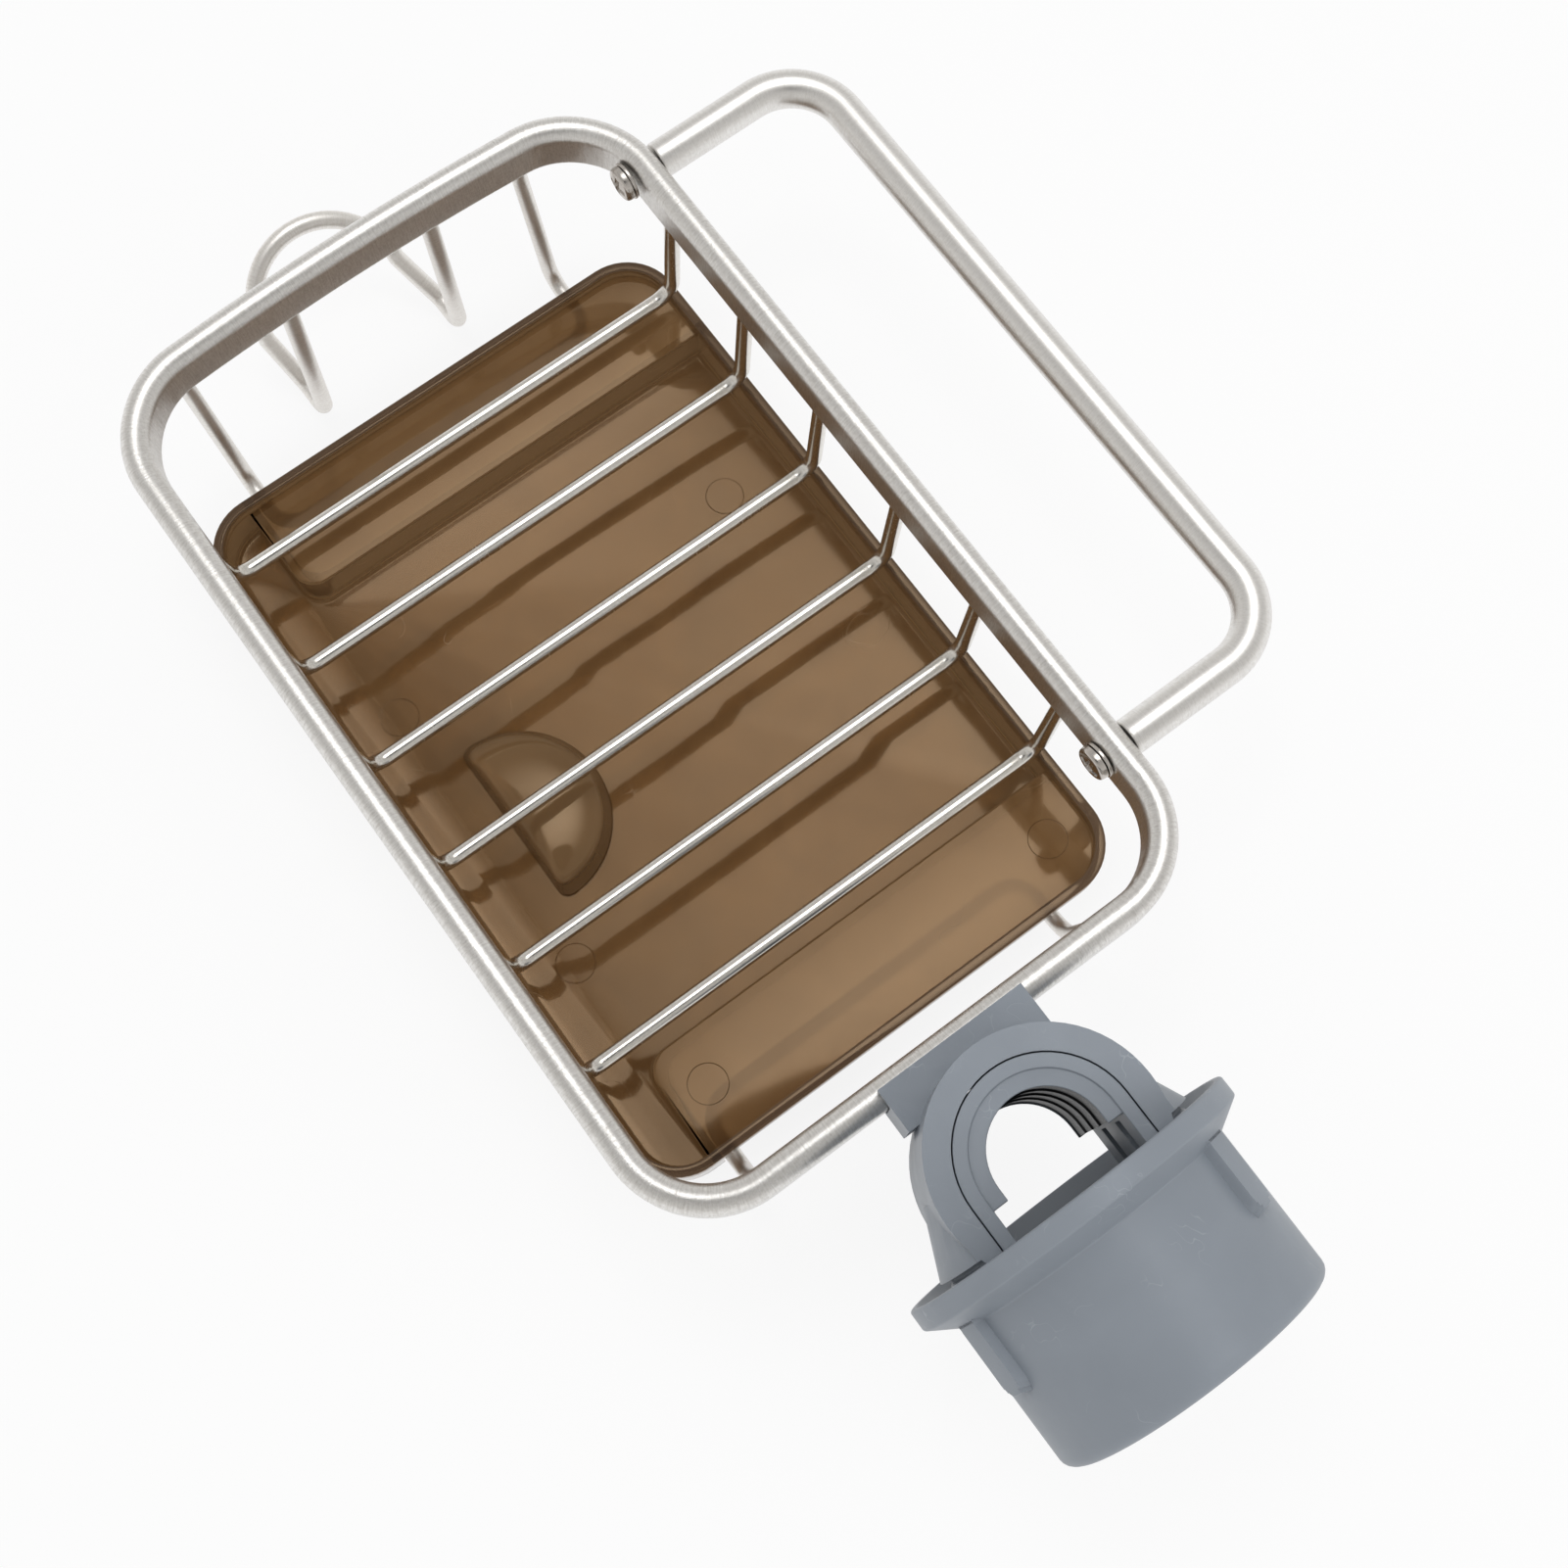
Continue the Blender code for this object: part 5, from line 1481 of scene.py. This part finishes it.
@dataclass
class Studio:
    """Floor, light and the camera of the photograph."""

    focal: float = 43.927
    film_width: float = 36.0
    place: tuple[float, float, float] = (-0.00974, -0.05487, 0.39146)
    turned: tuple[float, float, float] = (14.631, 0.143, 53.636)
    floor_z: float = -0.0630
    floor_reach: float = 3.0
    floor_tone: Colour = (0.86, 0.86, 0.86)
    floor_white: float = 0.85
    room_level: float = 0.76
    ceiling_tint: Colour = (1.0, 0.985, 0.96)
    ceiling_levels: tuple[tuple[float, float], ...] = ((0.0, 0.88), (0.30, 0.68), (0.80, 0.52), (1.0, 0.44))
    glow_at: tuple[float, float, float] = (-0.13, 0.17, 0.975)
    glow_reach: float = 0.45
    glow_level: float = 4.7
    shade_reach: float = 0.105
    shade_behind: float = 0.01
    shade_tone: Colour = (0.02, 0.02, 0.02)
    lamps: tuple[Lamp, ...] = (Lamp("soft_box", (-0.367, 0.057, 0.95), (-0.367, 0.057, 0.0), 0.32, 1.5),
                               Lamp("soft_fill", (0.7, 0.4, 0.8), (-0.11, 0.02, -0.02), 0.8, 3.0))

    def camera(self) -> None:
        """Set the camera where the photograph was taken, solved from the rim's and the wires' edges."""
        data = bpy.data.cameras.new("photo_camera")
        data.lens = self.focal
        data.sensor_width = self.film_width
        data.clip_start = 0.01
        camera = show("photo_camera", data)
        camera.location = self.place
        camera.rotation_euler = [math.radians(angle) for angle in self.turned]
        bpy.context.scene.camera = camera

    def seen_white(self, sketch: Sketch) -> Socket:
        """Find the rays that meet the background as plain white.

        Args:
            sketch: The tree that asks.

        Returns:
            One where a ray comes from the camera, a reflection or a see-through piece.
        """
        path = sketch.node("ShaderNodeLightPath").outputs
        either = sketch.math("MAXIMUM", path["Is Camera Ray"], path["Is Glossy Ray"])
        return sketch.math("MAXIMUM", either, path["Is Transmission Ray"])

    def ceiling(self, sketch: Sketch) -> Socket:
        """What a reflection finds: pale walls, a greyer ceiling and a round glow that fades out.

        Args:
            sketch: The world's tree.

        Returns:
            The colour in each direction.
        """
        direction = sketch.node("ShaderNodeTexCoord").outputs["Generated"]
        height = sketch.node("ShaderNodeSeparateXYZ", {0: direction}).outputs["Z"]
        ramp = sketch.node("ShaderNodeValToRGB", {0: height})
        stops = ramp.color_ramp.elements
        stops.remove(stops[1])
        for number, (place, level) in enumerate(self.ceiling_levels):
            stop = stops[0] if number == 0 else stops.new(place)
            stop.position = place
            stop.color = (*(level * part for part in self.ceiling_tint), 1.0)
        away = sketch.node("ShaderNodeVectorMath", {0: direction, 1: self.glow_at}, operation="DISTANCE")
        glow = sketch.node("ShaderNodeMapRange", {
            "Value": away.outputs["Value"], "From Min": 0.0, "From Max": self.glow_reach,
            "To Min": self.glow_level, "To Max": 0.0}, interpolation_type="SMOOTHSTEP").outputs[0]
        return sketch.vector("ADD", ramp.outputs[0], glow)

    def backdrop(self) -> None:
        """Make the pale world and the floor, which keeps a soft shadow."""
        world = bpy.data.worlds.new("pale_room")
        world.use_nodes = True
        bpy.context.scene.world = world
        sketch = Sketch(world.node_tree)
        strength = sketch.span(self.seen_white(sketch), 0.0, 1.0, self.room_level, 1.0)
        glossy = sketch.node("ShaderNodeLightPath").outputs["Is Glossy Ray"]
        colour = sketch.blend(glossy, (1.0, 1.0, 1.0), self.ceiling(sketch))
        sketch.feed(world.node_tree.nodes["Background"], {"Strength": strength, "Color": colour})
        mesh = bpy.data.meshes.new("pale_floor")
        around = ((-1, -1), (1, -1), (1, 1), (-1, 1))
        corners = [(x * self.floor_reach, y * self.floor_reach, self.floor_z) for x, y in around]
        mesh.from_pydata(corners, [], [(0, 1, 2, 3)])
        floor = show("pale_floor", mesh)
        made, sketch, shader = start_material("pale_floor_paper")
        sketch.feed(shader, {"Base Color": self.floor_tone, "Roughness": 0.9})
        glow = sketch.node("ShaderNodeEmission", {"Color": (1.0, 1.0, 1.0), "Strength": 1.0})
        share = sketch.times(self.seen_white(sketch), self.floor_white)
        both = sketch.node("ShaderNodeMixShader", {0: share, 1: shader.outputs[0], 2: glow.outputs[0]})
        sketch.feed(made.node_tree.nodes["Material Output"], {0: both.outputs[0]})
        mesh.materials.append(made)
        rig.stage(floor)

    def camera_shade(self) -> None:
        """Put a dark disc behind the camera, which only reflections find, as they found the real camera."""
        turn = np.linspace(0.0, math.tau, 48, endpoint=False)
        ring = np.column_stack([self.place[0] + self.shade_reach * np.cos(turn),
                                self.place[1] + self.shade_reach * np.sin(turn),
                                np.full(len(turn), self.place[2] + self.shade_behind)])
        mesh = bpy.data.meshes.new("camera_shade")
        mesh.from_pydata(ring.tolist(), [], [list(range(len(turn)))])
        shade = show("camera_shade", mesh)
        made, sketch, shader = start_material("camera_shade_black")
        sketch.feed(shader, {"Base Color": self.shade_tone})
        mesh.materials.append(made)
        shade.visible_camera = shade.visible_diffuse = False
        shade.visible_shadow = shade.visible_transmission = False
        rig.stage(shade)

    def build(self) -> None:
        """Set up camera, backdrop and lamps."""
        self.camera()
        self.backdrop()
        self.camera_shade()
        for lamp in self.lamps:
            lamp.build()
        bpy.context.scene.view_settings.view_transform = "Standard"


def note_size(label: str) -> None:
    """Args:
        label: Its name there, loaded for the CAD's box or finished for the visual model's.
    """
    path = "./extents.json"
    low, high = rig.bounds()
    sizes = {} if label == "loaded" else json.load(open(path))
    sizes[label] = [list(map(float, low)), list(map(float, high))]
    with open(path, "w") as target:
        json.dump(sizes, target)


def main() -> None:
    """Build the caddy's parts in order, then the studio."""
    logging.basicConfig(level=logging.INFO, format="%(name)s: %(message)s")
    note_size("loaded")
    shop = Workshop()
    rim = Rim()
    for part in (rim, WireWork(rim), TowelBar(rim), Tray(), Clamp()):
        part.build(shop)
    Studio().build()
    note_size("finished")


if __name__ == "__main__":
    main()
